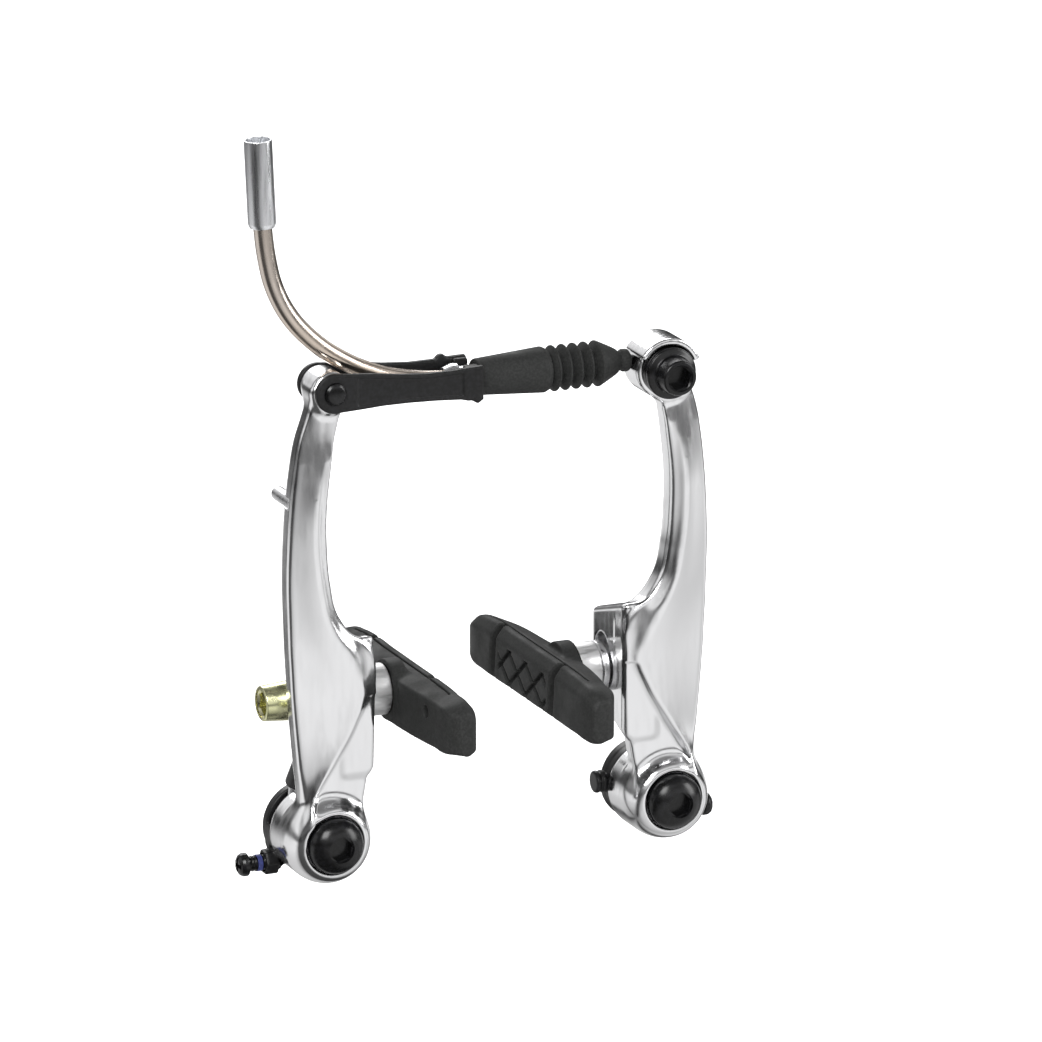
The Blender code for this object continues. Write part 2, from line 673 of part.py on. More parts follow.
def brake_pad(label, side):
    """One-piece rubber pad: flat friction face, back that thins towards both ends, stud collar."""
    z = STUD_Z[label] - PAD_DROP
    face, back = PAD_FACE_X, PAD_BACK_X
    stations = (
        (PAD_FRONT_Y, face + 0.9, back - 4.0, 0.90, 0.64),
        (PAD_FRONT_Y + 2.2, face + 0.2, back - 2.6, 0.98, 0.85),
        (PAD_FRONT_Y + 9.0, face, back - 1.6, 1.0, 0.94),
        (SLOT_Y - 12.0, face, back - 0.4, 1.0, 1.0),
        (SLOT_Y, face, back, 1.0, 1.0),
        (SLOT_Y + 12.0, face, back - 0.5, 1.0, 1.0),
        (PAD_REAR_Y - 9.0, face, back - 2.4, 1.0, 0.96),
        (PAD_REAR_Y - 3.0, face + 0.2, back - 3.8, 0.97, 0.80),
        (PAD_REAR_Y, face + 0.9, back - 5.0, 0.88, 0.58),
    )
    rings = []
    for y, front_x, back_x, below, above in stations:
        edge_x = front_x + PAD_EDGE_SETBACK
        outline = (
            (front_x, PAD_FACE_Z[0]), (edge_x, PAD_EDGE_Z[0]), (back_x, PAD_BACK_Z[0]),
            (back_x, PAD_BACK_Z[1]), (edge_x, PAD_EDGE_Z[1]), (front_x, PAD_FACE_Z[1]),
        )
        rings.append([(side * px, y, z + pz * (above if pz > 0 else below)) for px, pz in outline])
    pad = loft(f"{label}_brake_pad", rings, "black_rubber")
    stud_z = STUD_Z[label]
    collar = rod(f"{label}_pad_collar_body", PAD_COLLAR_RADIUS, (side * (back - 3), SLOT_Y, stud_z),
                 (side * (back + 0.2), SLOT_Y, stud_z))
    grooves = []
    for i, y in enumerate(PAD_GROOVES_Y):
        half = PAD_GROOVE_WIDTH / 2
        outline = [(face - 2, y - half), (face - 2, y + half), (face + PAD_GROOVE_DEPTH, y + half * 0.4),
                   (face + PAD_GROOVE_DEPTH, y - half * 0.4)]
        outline = [(side * px, py) for px, py in outline]
        grooves.append(prism(f"{label}_groove_{i}_cutter", outline, "Z", z - 9, z + 9))
    socket = rod(f"{label}_pad_socket_cutter", STUD_RADIUS + CLEARANCE,
                 (side * (back - PAD_SOCKET_DEPTH), SLOT_Y, stud_z), (side * (back + 9), SLOT_Y, stud_z))
    join(pad, collar)
    return cut(pad, socket, *grooves)


def ball_centre_x():
    """Middle of the boss, where both pairs of spherical washers have their centre."""
    return BOSS_INNER_X + BOSS_THICKNESS / 2


def sphere_run(radius, start_r, end_r, count=3):
    """(distance along the stud from the ball's centre, radius) down a spherical face."""
    run = []
    for i in range(count):
        across = start_r + (end_r - start_r) * i / (count - 1)
        run.append((across, math.sqrt(radius ** 2 - across ** 2)))
    return run


def washer_pair(label, side, place, rim, edge, flat_from_centre, cup_back):
    """A ball washer whose flat stands on the arm, and the cup that rocks on it."""
    towards = -side if place == "inner" else side
    base = (side * ball_centre_x(), SLOT_Y, STUD_Z[label])
    ball_radius = math.hypot(flat_from_centre + edge, rim)
    ball_profile = sphere_run(ball_radius, WASHER_BORE, rim)
    ball_profile += [(rim, flat_from_centre), (WASHER_BORE, flat_from_centre)]
    ball = turned(f"{label}_{place}_ball_washer", ball_profile, base, (towards, 0, 0),
                  "plated_steel", closed=True)
    hollow = sphere_run(ball_radius + CLEARANCE, rim, CUP_BORE)
    cup_profile = [(CUP_BORE, cup_back), (rim, cup_back)] + hollow
    cup = turned(f"{label}_{place}_cup_washer", cup_profile, base, (towards, 0, 0),
                 "plated_steel", closed=True)
    return ball, cup


def pad_hardware(label, side):
    """Stud, washers and nut, in the order they go through the arm."""
    z = STUD_Z[label]
    centre = ball_centre_x()
    half = BOSS_THICKNESS / 2 + CLEARANCE
    cup_back = centre - PAD_BACK_X - 0.2 - CLEARANCE
    inner = washer_pair(label, side, "inner", INNER_WASHER_RADIUS, BALL_EDGE, half, cup_back)
    outer_ball = math.hypot(half + BALL_EDGE * 0.6, OUTER_WASHER_RADIUS)
    outer_back = math.sqrt((outer_ball + CLEARANCE) ** 2 - CUP_BORE ** 2) + OUTER_CUP_THICKNESS
    outer = washer_pair(label, side, "outer", OUTER_WASHER_RADIUS, BALL_EDGE * 0.6, half, outer_back)
    flat_start = centre + outer_back + CLEARANCE
    flat_end = flat_start + FLAT_WASHER_THICKNESS
    flat = ring(f"{label}_flat_washer", OUTER_WASHER_RADIUS, CUP_BORE, (side * flat_start, SLOT_Y, z),
                (side * flat_end, SLOT_Y, z), "plated_steel")
    nut_start = flat_end + CLEARANCE
    nut_end = nut_start + NUT_LENGTH
    stud_end = nut_start + NUT_LENGTH * 0.55
    stud = rod(f"{label}_pad_stud", STUD_RADIUS,
               (side * (PAD_BACK_X - PAD_SOCKET_DEPTH + CLEARANCE), SLOT_Y, z),
               (side * stud_end, SLOT_Y, z), "plated_steel", 24)
    bore = STUD_RADIUS + CLEARANCE
    nut_profile = [
        (NUT_TIP_RADIUS, NUT_LENGTH), (NUT_BASE_RADIUS - 0.15, 1.5), (NUT_BASE_RADIUS, 1.2),
        (NUT_BASE_RADIUS, 0), (bore, 0), (bore, NUT_LENGTH * 0.62), (1.2, NUT_LENGTH * 0.62),
        (1.2, NUT_LENGTH),
    ]
    nut = turned(f"{label}_pad_nut", nut_profile, (side * nut_start, SLOT_Y, z), (side, 0, 0),
                 "yellow_zinc", 24, closed=True)
    cut(nut, hexagon(f"{label}_nut_socket_cutter", HEX_5MM, (side * (nut_end - 2.6), SLOT_Y, z),
                     (side * (nut_end + 3), SLOT_Y, z)))
    return [*inner, *outer, flat, stud, nut]


def link_outline():
    """Side plate seen from the front: round at the pin, waisted, tall at the end block."""
    outline = arc((-LINK_PIN_X, LINK_PIN_Z), LINK_ROUND_RADIUS, 75, 275, 13)
    end_low, end_high = CABLE_Z - LINK_END_HALF_HEIGHT + 0.3, CABLE_Z + LINK_END_HALF_HEIGHT
    middle_x = (-LINK_PIN_X + LINK_END_X) / 2
    outline += [
        (middle_x - 6, CABLE_Z - LINK_WAIST_HALF_HEIGHT + 0.9),
        (middle_x + 2, CABLE_Z - LINK_WAIST_HALF_HEIGHT + 0.3),
        (LINK_END_X - 4.5, end_low + 0.5),
        (LINK_END_X - 3.6, end_low - 0.5),
        (LINK_END_X, end_low - 0.5),
        (LINK_END_X, end_high),
        (LINK_END_X - 3.5, end_high),
        (middle_x + 2, CABLE_Z + LINK_WAIST_HALF_HEIGHT + 0.3),
        (middle_x - 6, CABLE_Z + LINK_WAIST_HALF_HEIGHT + 1.2),
    ]
    return outline


def noodle_link():
    """Two side plates round the arm's head, joined by the block that holds the noodle's nose."""
    front = LEFT_HEAD_Y[0] - RUNNING
    rear = LEFT_HEAD_Y[1] + RUNNING
    link = prism("noodle_link", link_outline(), "Y", front - LINK_PLATE, front, "black_link")
    back = prism("link_back_body", link_outline(), "Y", rear, rear + LINK_PLATE)
    block = box("link_block_body",
                (LINK_END_X - LINK_BLOCK_LENGTH, front - 0.5, CABLE_Z - LINK_END_HALF_HEIGHT - 0.5),
                (LINK_END_X - 0.02, rear + 0.5, CABLE_Z + LINK_END_HALF_HEIGHT - 0.4))
    join(link, back, block)
    pin_hole = rod("link_pin_cutter", LINK_PIN_RADIUS + RUNNING,
                   (-LINK_PIN_X, -30, LINK_PIN_Z), (-LINK_PIN_X, 0, LINK_PIN_Z))
    nose = rod("link_nose_cutter", NOSE_RADIUS + RUNNING, (-15, CABLE_Y, CABLE_Z), (0, CABLE_Y, CABLE_Z))
    half = TUBE_RADIUS + RUNNING
    slit = box("link_slit_cutter", (LINK_END_X - LINK_BLOCK_LENGTH - 1, CABLE_Y - half, CABLE_Z),
               (LINK_END_X + 1, CABLE_Y + half, CABLE_Z + 12))
    return cut(link, pin_hole, nose, slit)


def link_pin():
    """Headed rivet through the link and the left arm's head."""
    head_y = LEFT_HEAD_Y[0] - RUNNING - LINK_PLATE - CLEARANCE
    tail_y = LEFT_HEAD_Y[1] + RUNNING + LINK_PLATE + CLEARANCE
    length = tail_y - head_y
    profile = [
        (0, 0.7), (1.4, 0.6), (2.4, 0.1), (2.4, 0), (LINK_PIN_RADIUS, 0), (LINK_PIN_RADIUS, -length),
        (2.6, -length), (2.4, -length - 0.7), (0, -length - 0.8),
    ]
    return turned("link_pin", profile, (-LINK_PIN_X, head_y, LINK_PIN_Z), (0, -1, 0), "black_steel", 20)


def noodle_pieces():
    """Bent tube with its liner, the ferrule for the cable housing and the nose at the link."""
    route = [(x, CABLE_Y, z) for x, z in NOODLE_ROUTE]
    tube = tube_curve("noodle_tube", route, TUBE_RADIUS, "stainless_tube")
    start, end = Vector(route[0]), Vector(route[-1])
    before = (start - Vector(route[1])).normalized() * 2
    after = (end - Vector(route[-2])).normalized() * 2
    inner_route = [start + before] + route[1:-1] + [end + after]
    cut(tube, tube_curve("tube_bore_cutter", inner_route, TUBE_BORE))
    liner = tube_curve("noodle_liner", [start + before * 0.45] + route[1:-1] + [end - after * 0.2],
                       LINER_RADIUS, "white_liner")
    longer = [start + before * 2] + route[1:-1] + [end + after]
    cut(liner, tube_curve("liner_bore_cutter", longer, LINER_BORE))
    base = Vector((FERRULE_BASE[0], CABLE_Y, FERRULE_BASE[1]))
    top = Vector((FERRULE_TOP[0], CABLE_Y, FERRULE_TOP[1]))
    length = (top - base).length
    shoulder = length - HOUSING_SOCKET_DEPTH
    grip = TUBE_RADIUS + CLEARANCE
    profile = [
        (FERRULE_RADIUS, length), (FERRULE_RADIUS, 0.5), (FERRULE_RADIUS - 0.4, 0), (grip, 0),
        (grip, shoulder), (HOUSING_SOCKET_RADIUS, shoulder), (HOUSING_SOCKET_RADIUS, length),
    ]
    ferrule = turned("noodle_ferrule", profile, base, top - base, "bright_ferrule", closed=True)
    collar_end = LINK_END_X - LINK_BLOCK_LENGTH - CLEARANCE
    collar_start = collar_end - 3.2
    nose_end = BOOT_START_X + 5.0
    run = nose_end - collar_start
    flange = collar_end - collar_start
    nose_profile = [
        (NOSE_RADIUS - 0.35, run), (NOSE_RADIUS, run - 2.5), (NOSE_RADIUS, flange),
        (NOSE_COLLAR_RADIUS + 0.4, flange),
        (NOSE_COLLAR_RADIUS + 0.4, flange - 1.2), (NOSE_COLLAR_RADIUS - 0.3, 0), (grip, 0), (grip, run),
    ]
    nose = turned("noodle_nose", nose_profile, (collar_start, CABLE_Y, CABLE_Z), (1, 0, 0), "bright_ferrule",
                  closed=True)
    return [tube, liner, ferrule, nose]


def boot_pieces():
    """Rubber boot over the bare cable: sleeve and bellows, and the tip that moves as they close."""
    reach = BOOT_TIP_START_X - CLEARANCE - BOOT_START_X
    socket = NOSE_RADIUS + CLEARANCE
    hollow = 3.3
    outer = []
    for i in range(BELLOWS_COUNT):
        middle = BELLOWS_START_X - BOOT_START_X + BELLOWS_PITCH * (BELLOWS_COUNT - 0.5 - i)
        outer += [(BOOT_RADIUS, middle + 0.35), (BOOT_RADIUS, middle - 0.35),
                  (BOOT_RADIUS - 1.15, middle - BELLOWS_PITCH / 2)]
    profile = [(BOOT_RADIUS - 1.1, reach), *outer]
    sleeve_end = BELLOWS_START_X - BOOT_START_X - 0.9
    profile += [(BOOT_RADIUS, sleeve_end), (3.95, 1.2), (3.9, 0), (socket, 0), (socket, 6.2), (hollow, 7.0),
                (hollow, reach - 0.6), (hollow, reach)]
    boot = turned("dust_boot", profile, (BOOT_START_X, CABLE_Y, CABLE_Z), (1, 0, 0), "black_rubber",
                  16, closed=True)
    length = BOOT_END_X - BOOT_TIP_START_X
    tip_profile = [(2.1, length), (2.5, length - 0.6), (2.5, length - 1.7), (2.1, length - 2.4),
                   (3.9, 0.5), (BOOT_RADIUS - 1.1, 0), (hollow, 0), (1.1, length - 2.8), (1.1, length)]
    tip = turned("boot_tip", tip_profile, (BOOT_TIP_START_X, CABLE_Y, CABLE_Z), (1, 0, 0), "black_rubber",
                 16, closed=True)
    return boot, tip


def anchor_pieces():
    """Clamp washer and flanged socket bolt that pinch the cable on the right arm."""
    seat = RIGHT_HEAD_Y[0] - CLEARANCE
    washer = ring("cable_clamp_washer", CLAMP_WASHER_RADIUS, ANCHOR_SHANK_RADIUS + CLEARANCE,
                  (ANCHOR_X, seat, ANCHOR_Z), (ANCHOR_X, seat - CLAMP_WASHER_THICKNESS, ANCHOR_Z), "black_steel")
    flange_y = seat - CLAMP_WASHER_THICKNESS - CLEARANCE
    top = ANCHOR_FLANGE_THICKNESS + ANCHOR_HEAD_HEIGHT
    shank = RIGHT_HEAD_Y[1] - flange_y
    profile = [
        (0, top), (ANCHOR_HEAD_RADIUS - 0.3, top), (ANCHOR_HEAD_RADIUS, top - 0.4),
        (ANCHOR_HEAD_RADIUS + 0.3, ANCHOR_FLANGE_THICKNESS + 0.5),
        (ANCHOR_FLANGE_RADIUS - 0.2, ANCHOR_FLANGE_THICKNESS),
        (ANCHOR_FLANGE_RADIUS, ANCHOR_FLANGE_THICKNESS - 0.4), (ANCHOR_FLANGE_RADIUS, 0),
        (ANCHOR_SHANK_RADIUS, 0),
        (ANCHOR_SHANK_RADIUS, -shank), (0, -shank),
    ]
    bolt = turned("cable_anchor_bolt", profile, (ANCHOR_X, flange_y, ANCHOR_Z), (0, -1, 0), "black_steel", 24)
    face = flange_y - top
    cut(bolt, hexagon("anchor_socket_cutter", HEX_5MM,
                      (ANCHOR_X, face + 3.2, ANCHOR_Z), (ANCHOR_X, face - 2, ANCHOR_Z)))
    return washer, bolt


def parent_to(empty, *pieces):
    bpy.context.view_layer.update()
    for piece in pieces:
        piece.parent = empty
        piece.matrix_parent_inverse = empty.matrix_world.inverted()


def build_side(label, side):
    x = side * PIVOT_HALF_SPACING
    pivot_sleeve(label, side)
    mounting_bolt(label, side)
    spring_holder(label, side)
    arm_axis = pivot(f"{label}_arm_axis", x, HUB_FRONT, 0)
    moving = [arm(label, side), return_spring(label, side), spring_sleeve(label, side), stop_pin(label, side)]
    pad_axis = pivot(f"{label}_pad_axis", side * ball_centre_x(), SLOT_Y, STUD_Z[label])
    parent_to(pad_axis, brake_pad(label, side), *pad_hardware(label, side))
    parent_to(arm_axis, *moving, pad_axis)
    screw_axis = pivot(f"{label}_screw_axis", side * SCREW_TIP_X, SCREW_Y, SCREW_Z)
    parent_to(screw_axis, tension_screw(label, side))
    return arm_axis


def build():
    arms = {label: build_side(label, side) for label, side in SIDES.items()}
    link_axis = pivot("link_axis", -LINK_PIN_X, LEFT_HEAD_Y[0], LINK_PIN_Z)
    parent_to(link_axis, noodle_link(), *noodle_pieces(), *boot_pieces())
    parent_to(arms["left"], link_pin(), link_axis)
    parent_to(arms["right"], *anchor_pieces())


build()
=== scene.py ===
"""Looks of the linear-pull rim brake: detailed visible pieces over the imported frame.

Shapes are drawn in millimetres in the row frame: X across the wheel, -Y front, +Z up.
"""

import math

import bmesh
import bpy
import numpy as np
from mathutils import Matrix, Vector


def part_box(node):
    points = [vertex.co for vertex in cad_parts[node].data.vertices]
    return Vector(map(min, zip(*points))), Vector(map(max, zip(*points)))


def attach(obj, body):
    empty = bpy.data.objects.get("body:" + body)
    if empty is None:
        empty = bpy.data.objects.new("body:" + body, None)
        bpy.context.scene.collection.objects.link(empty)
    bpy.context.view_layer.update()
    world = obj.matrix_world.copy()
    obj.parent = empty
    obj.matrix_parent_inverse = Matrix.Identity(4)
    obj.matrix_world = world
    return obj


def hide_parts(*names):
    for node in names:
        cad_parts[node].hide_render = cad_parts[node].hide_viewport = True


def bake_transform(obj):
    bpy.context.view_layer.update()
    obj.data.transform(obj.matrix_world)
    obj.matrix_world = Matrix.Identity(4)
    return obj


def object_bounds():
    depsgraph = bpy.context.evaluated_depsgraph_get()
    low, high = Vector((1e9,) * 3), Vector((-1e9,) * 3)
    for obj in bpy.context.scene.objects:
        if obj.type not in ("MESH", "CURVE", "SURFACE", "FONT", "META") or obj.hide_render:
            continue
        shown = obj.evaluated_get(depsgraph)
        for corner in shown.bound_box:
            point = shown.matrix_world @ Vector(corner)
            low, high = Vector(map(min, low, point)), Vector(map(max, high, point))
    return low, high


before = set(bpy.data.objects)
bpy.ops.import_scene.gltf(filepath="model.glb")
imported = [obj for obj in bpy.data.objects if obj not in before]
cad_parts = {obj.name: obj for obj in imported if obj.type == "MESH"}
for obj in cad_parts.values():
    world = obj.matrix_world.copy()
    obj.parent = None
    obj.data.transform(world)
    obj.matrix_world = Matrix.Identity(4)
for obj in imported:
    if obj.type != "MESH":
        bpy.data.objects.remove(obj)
CAD_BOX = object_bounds()

MM = 0.001
SIDES = {"left": -1, "right": 1}


def corners(node):
    """The low and high corners of a CAD node's box, in millimetres."""
    low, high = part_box(node)
    return low / MM, high / MM


# ---------------------------------------------------------------- materials

def nodes_of(name):
    """A new material with its node tree, its shader and its texture coordinates."""
    made = bpy.data.materials.new(name)
    made.use_nodes = True
    tree = made.node_tree
    shader = tree.nodes["Principled BSDF"]
    coords = tree.nodes.new("ShaderNodeTexCoord")
    return made, tree, shader, coords


def noise(tree, coords, scale, stretch=(1, 1, 1), detail=4.0):
    """A noise that is stretched along each axis whose factor is small."""
    mapping = tree.nodes.new("ShaderNodeMapping")
    mapping.inputs["Scale"].default_value = stretch
    texture = tree.nodes.new("ShaderNodeTexNoise")
    texture.inputs["Scale"].default_value = scale
    texture.inputs["Detail"].default_value = detail
    tree.links.new(coords.outputs["Object"], mapping.inputs["Vector"])
    tree.links.new(mapping.outputs["Vector"], texture.inputs["Vector"])
    return texture.outputs["Fac"]


def ramp(tree, source, low, high, start=0.35, end=0.65):
    """source mapped to a colour or value between low and high."""
    node = tree.nodes.new("ShaderNodeValToRGB")
    stops = node.color_ramp.elements
    stops[0].position, stops[1].position = start, end
    for stop, value in zip(stops, (low, high)):
        stop.color = (*value, 1.0) if hasattr(value, "__len__") else (value, value, value, 1.0)
    tree.links.new(source, node.inputs["Fac"])
    return node.outputs["Color"]


def bump(tree, shader, source, distance, strength=1.0):
    node = tree.nodes.new("ShaderNodeBump")
    node.inputs["Strength"].default_value = strength
    node.inputs["Distance"].default_value = distance
    tree.links.new(source, node.inputs["Height"])
    tree.links.new(node.outputs["Normal"], shader.inputs["Normal"])


def metal(name, colour, rough, grain=900.0, stretch=(1, 1, 1), variation=0.05, depth=2e-6, second=None):
    """Metal with fine grain in its roughness and bump, and a faint change of colour."""
    made, tree, shader, coords = nodes_of(name)
    shader.inputs["Metallic"].default_value = 1.0
    fine = noise(tree, coords, grain, stretch)
    broad = noise(tree, coords, 60.0, stretch, 2.0)
    other = second or tuple(c * (1 - variation) for c in colour)
    tree.links.new(ramp(tree, broad, colour, other), shader.inputs["Base Color"])
    tree.links.new(ramp(tree, fine, rough * 0.75, rough * 1.35), shader.inputs["Roughness"])
    bump(tree, shader, fine, depth)
    return made


def coating(name, colour, rough, speckle, grain=1500.0, depth=1.5e-5, specular=0.5):
    """Rubber, plastic or black plating: speckled colour, mottled roughness, moulded grain."""
    made, tree, shader, coords = nodes_of(name)
    shader.inputs["Specular IOR Level"].default_value = specular
    fine = noise(tree, coords, grain)
    broad = noise(tree, coords, 150.0, (1, 1, 1), 3.0)
    tree.links.new(ramp(tree, fine, colour, speckle, 0.4, 0.7), shader.inputs["Base Color"])
    tree.links.new(ramp(tree, broad, rough * 0.88, min(1.0, rough * 1.15)), shader.inputs["Roughness"])
    bump(tree, shader, fine, depth, 0.6)
    return made


LOOKS = {
    "forged_aluminium": metal(
        "forged_aluminium", (0.83, 0.83, 0.84), rough=0.16, grain=700.0,
        stretch=(1, 1, 0.25), variation=0.04, depth=1.2e-6),
    "satin_steel": metal(
        "satin_steel", (0.80, 0.80, 0.80), rough=0.46, grain=1400.0,
        stretch=(0.15, 1, 1), variation=0.08, depth=4e-6),
    "plated_steel": metal(
        "plated_steel", (0.70, 0.70, 0.71), rough=0.32, grain=1200.0, variation=0.1),
    "stainless_tube": metal(
        "stainless_tube", (0.62, 0.57, 0.53), rough=0.22, grain=900.0,
        stretch=(0.3, 1, 0.3), second=(0.68, 0.58, 0.49)),
    "bright_ferrule": metal(
        "bright_ferrule", (0.84, 0.85, 0.87), rough=0.27, grain=1100.0,
        stretch=(1, 1, 0.08), variation=0.08, depth=3e-6),
    "yellow_zinc": metal(
        "yellow_zinc", (0.82, 0.79, 0.52), rough=0.24, grain=500.0, second=(0.72, 0.73, 0.42)),
    "black_steel": coating(
        "black_steel", (0.002, 0.002, 0.002), rough=0.24, speckle=(0.005, 0.005, 0.006),
        grain=900.0, depth=3e-6, specular=0.38),
    "black_link": coating(
        "black_link", (0.004, 0.004, 0.004), rough=0.46, speckle=(0.008, 0.008, 0.009),
        depth=1.0e-5, specular=0.3),
    "black_plastic": coating(
        "black_plastic", (0.003, 0.003, 0.003), rough=0.38, speckle=(0.007, 0.007, 0.008),
        grain=1300.0, depth=1.2e-5, specular=0.35),
    "black_rubber": coating(
        "black_rubber", (0.010, 0.0105, 0.010), rough=0.62, speckle=(0.018, 0.0185, 0.018),
        grain=2200.0, depth=1.2e-5, specular=0.25),
    "blue_patch": coating(
        "blue_patch", (0.01, 0.015, 0.09), rough=0.5, speckle=(0.02, 0.03, 0.14)),
    "white_liner": coating(
        "white_liner", (0.80, 0.80, 0.76), rough=0.45, speckle=(0.86, 0.86, 0.83),
        grain=900.0, depth=5e-6),
}


# ---------------------------------------------------------------- meshes

ON_AXIS = 0.02
SHORTEST_ROUNDING = 0.01
NEARLY_STRAIGHT = math.radians(168)


def piece(name, mesh, look, body, *nodes):
    """A shown piece with its look, riding on a body and standing for CAD nodes."""
    obj = bpy.data.objects.new(name, mesh)
    bpy.context.scene.collection.objects.link(obj)
    mesh.materials.clear()
    mesh.materials.append(LOOKS[look])
    mesh.shade_smooth()
    if body:
        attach(obj, body)
    if nodes:
        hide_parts(*nodes)
    return obj


def softened(profile, radius, closed):
    """The profile with each corner that is off the axis rounded by a short curve."""
    count = len(profile)
    points = []
    for i, (r, h) in enumerate(profile):
        ends = not closed and i in (0, count - 1)
        if ends or r < ON_AXIS:
            points.append((r, h))
            continue
        here = Vector((r, h))
        before, after = (Vector(profile[(i + k) % count]) - here for k in (-1, 1))
        reach = min(radius, before.length * 0.45, after.length * 0.45)
        if reach < SHORTEST_ROUNDING or before.angle(after, 0) > NEARLY_STRAIGHT:
            points.append((r, h))
            continue
        a, b = here + before.normalized() * reach, here + after.normalized() * reach
        for t in (0.0, 0.25, 0.5, 0.75, 1.0):
            p = a * (1 - t) ** 2 + here * 2 * t * (1 - t) + b * t ** 2
            points.append((p.x, p.y))
    return points


def frame_to(direction):
    """The turn that takes +Z to the direction."""
    return Vector((0, 0, 1)).rotation_difference(Vector(direction).normalized()).to_matrix()


def mesh_from(bm, name):
    """The bmesh as a mesh, its faces turned outwards."""
    bmesh.ops.recalc_face_normals(bm, faces=bm.faces)
    mesh = bpy.data.meshes.new(name)
    bm.to_mesh(mesh)
    bm.free()
    return mesh


def lathe(name, profile, base, direction, segments=72, edge=0.25, closed=False):
    """A turned mesh of (radius, height) points, smooth round its axis."""
    points = softened(profile, edge, closed)
    turn = frame_to(direction)
    base = Vector(base)
    bm = bmesh.new()
    rows = []
    for radius, height in points:
        if radius < ON_AXIS:
            rows.append([bm.verts.new((base + turn @ Vector((0, 0, height))) * MM)])
            continue
        row = []
        for i in range(segments):
            a = 2 * math.pi * i / segments
            spot = Vector((radius * math.cos(a), radius * math.sin(a), height))
            row.append(bm.verts.new((base + turn @ spot) * MM))
        rows.append(row)
    pairs = list(zip(rows, rows[1:]))
    if closed:
        pairs.append((rows[-1], rows[0]))
    for low, high in pairs:
        for i in range(segments):
            j = (i + 1) % segments
            ring = []
            for vert in (low[i % len(low)], low[j % len(low)], high[j % len(high)], high[i % len(high)]):
                if vert not in ring:
                    ring.append(vert)
            if len(ring) > 2:
                bm.faces.new(ring)
    return mesh_from(bm, name)


def smooth_path(points, steps):
    """Catmull-Rom curve through the points, steps pieces between each two."""
    points = [Vector(p) for p in points]
    ends = [points[0] * 2 - points[1], *points, points[-1] * 2 - points[-2]]
    out = []
    for i in range(1, len(ends) - 2):
        a, b, c, d = ends[i - 1:i + 3]
        for k in range(steps):
            t = k / steps
            out.append(0.5 * ((2 * b) + (c - a) * t + (2 * a - 5 * b + 4 * c - d) * t ** 2
                              + (3 * b - a - 3 * c + d) * t ** 3))
    out.append(points[-1])
    return out


def tube(name, path, radius, bore=0.0, sides=28):
    """A round tube along a path, hollow where it has a bore."""
    bm = bmesh.new()
    normal = Vector((0, 1, 0))
    shells = []
    for r in ([radius, bore] if bore else [radius]):
        rows = []
        for i, point in enumerate(path):
            ahead = path[min(i + 1, len(path) - 1)] - path[max(i - 1, 0)]
            ahead.normalize()
            side = (normal - ahead * normal.dot(ahead)).normalized()
            up = ahead.cross(side)
            rows.append([bm.verts.new((point + (side * math.cos(a) + up * math.sin(a)) * r) * MM)
                         for a in (2 * math.pi * k / sides for k in range(sides))])
            normal = side
        normal = Vector((0, 1, 0))
        for low, high in zip(rows, rows[1:]):
            for k in range(sides):
                m = (k + 1) % sides
                bm.faces.new((low[k], low[m], high[m], high[k]))
        shells.append(rows)
    for end in (0, -1):
        if bore:
            for k in range(sides):
                m = (k + 1) % sides
                outer, inner = shells[0][end], shells[1][end]
                bm.faces.new((outer[k], outer[m], inner[m], inner[k]))
        else:
            bm.faces.new(shells[0][end])
    return mesh_from(bm, name)


def prism_mesh(name, outline, base, direction, length):
    """A straight prism of a flat outline about base, its length along direction."""
    turn = frame_to(direction)
    bm = bmesh.new()
    base = Vector(base)
    rows = []
    for height in (0, length):
        rows.append([bm.verts.new((base + turn @ Vector((u, v, height))) * MM) for u, v in outline])
    count = len(outline)
    for i in range(count):
        j = (i + 1) % count
        bm.faces.new((rows[0][i], rows[0][j], rows[1][j], rows[1][i]))
    bm.faces.new(rows[0])
    bm.faces.new(rows[1])
    return mesh_from(bm, name)


def polygon(sides, across_flats, turn=0.0):
    """The corners of a regular polygon."""
    radius = across_flats / 2 / math.cos(math.pi / sides)
    angles = [turn + 2 * math.pi * i / sides for i in range(sides)]
    return [(radius * math.cos(a), radius * math.sin(a)) for a in angles]


def carved(mesh, *cutters):
    """The mesh less the cutter meshes, with its hard edges kept crisp."""
    obj = bpy.data.objects.new(mesh.name + "_whole", mesh)
    bpy.context.scene.collection.objects.link(obj)
    helpers = []
    for cutter in cutters:
        helper = bpy.data.objects.new(cutter.name + "_helper", cutter)
        bpy.context.scene.collection.objects.link(helper)
        helpers.append(helper)
        modifier = obj.modifiers.new("cut", "BOOLEAN")
        modifier.operation, modifier.object, modifier.solver = "DIFFERENCE", helper, "EXACT"
    bpy.context.view_layer.update()
    made = bpy.data.meshes.new_from_object(obj.evaluated_get(bpy.context.evaluated_depsgraph_get()))
    made.name = mesh.name
    for helper in [obj, *helpers]:
        bpy.data.objects.remove(helper, do_unlink=True)
    return made


SOCKET_FLATS = 5.0
TO_FRONT = (0, -1, 0)


def crisp(obj, degrees=32):
    """The piece with each edge that bends by more than this drawn sharp."""
    obj.data.set_sharp_from_angle(angle=math.radians(degrees))
    return obj


# ---------------------------------------------------------------- implicit shapes

def either(a, b, k=0.4):
    """Smooth union of two distances."""
    h = np.clip(k - np.abs(a - b), 0, None) / k
    return np.minimum(a, b) - h * h * k / 4


def both(a, b, k=0.4):
    """Smooth intersection."""
    return -either(-a, -b, k)


def less(a, b, k=0.4):
    """The first shape without the second."""
    return both(a, -b, k)


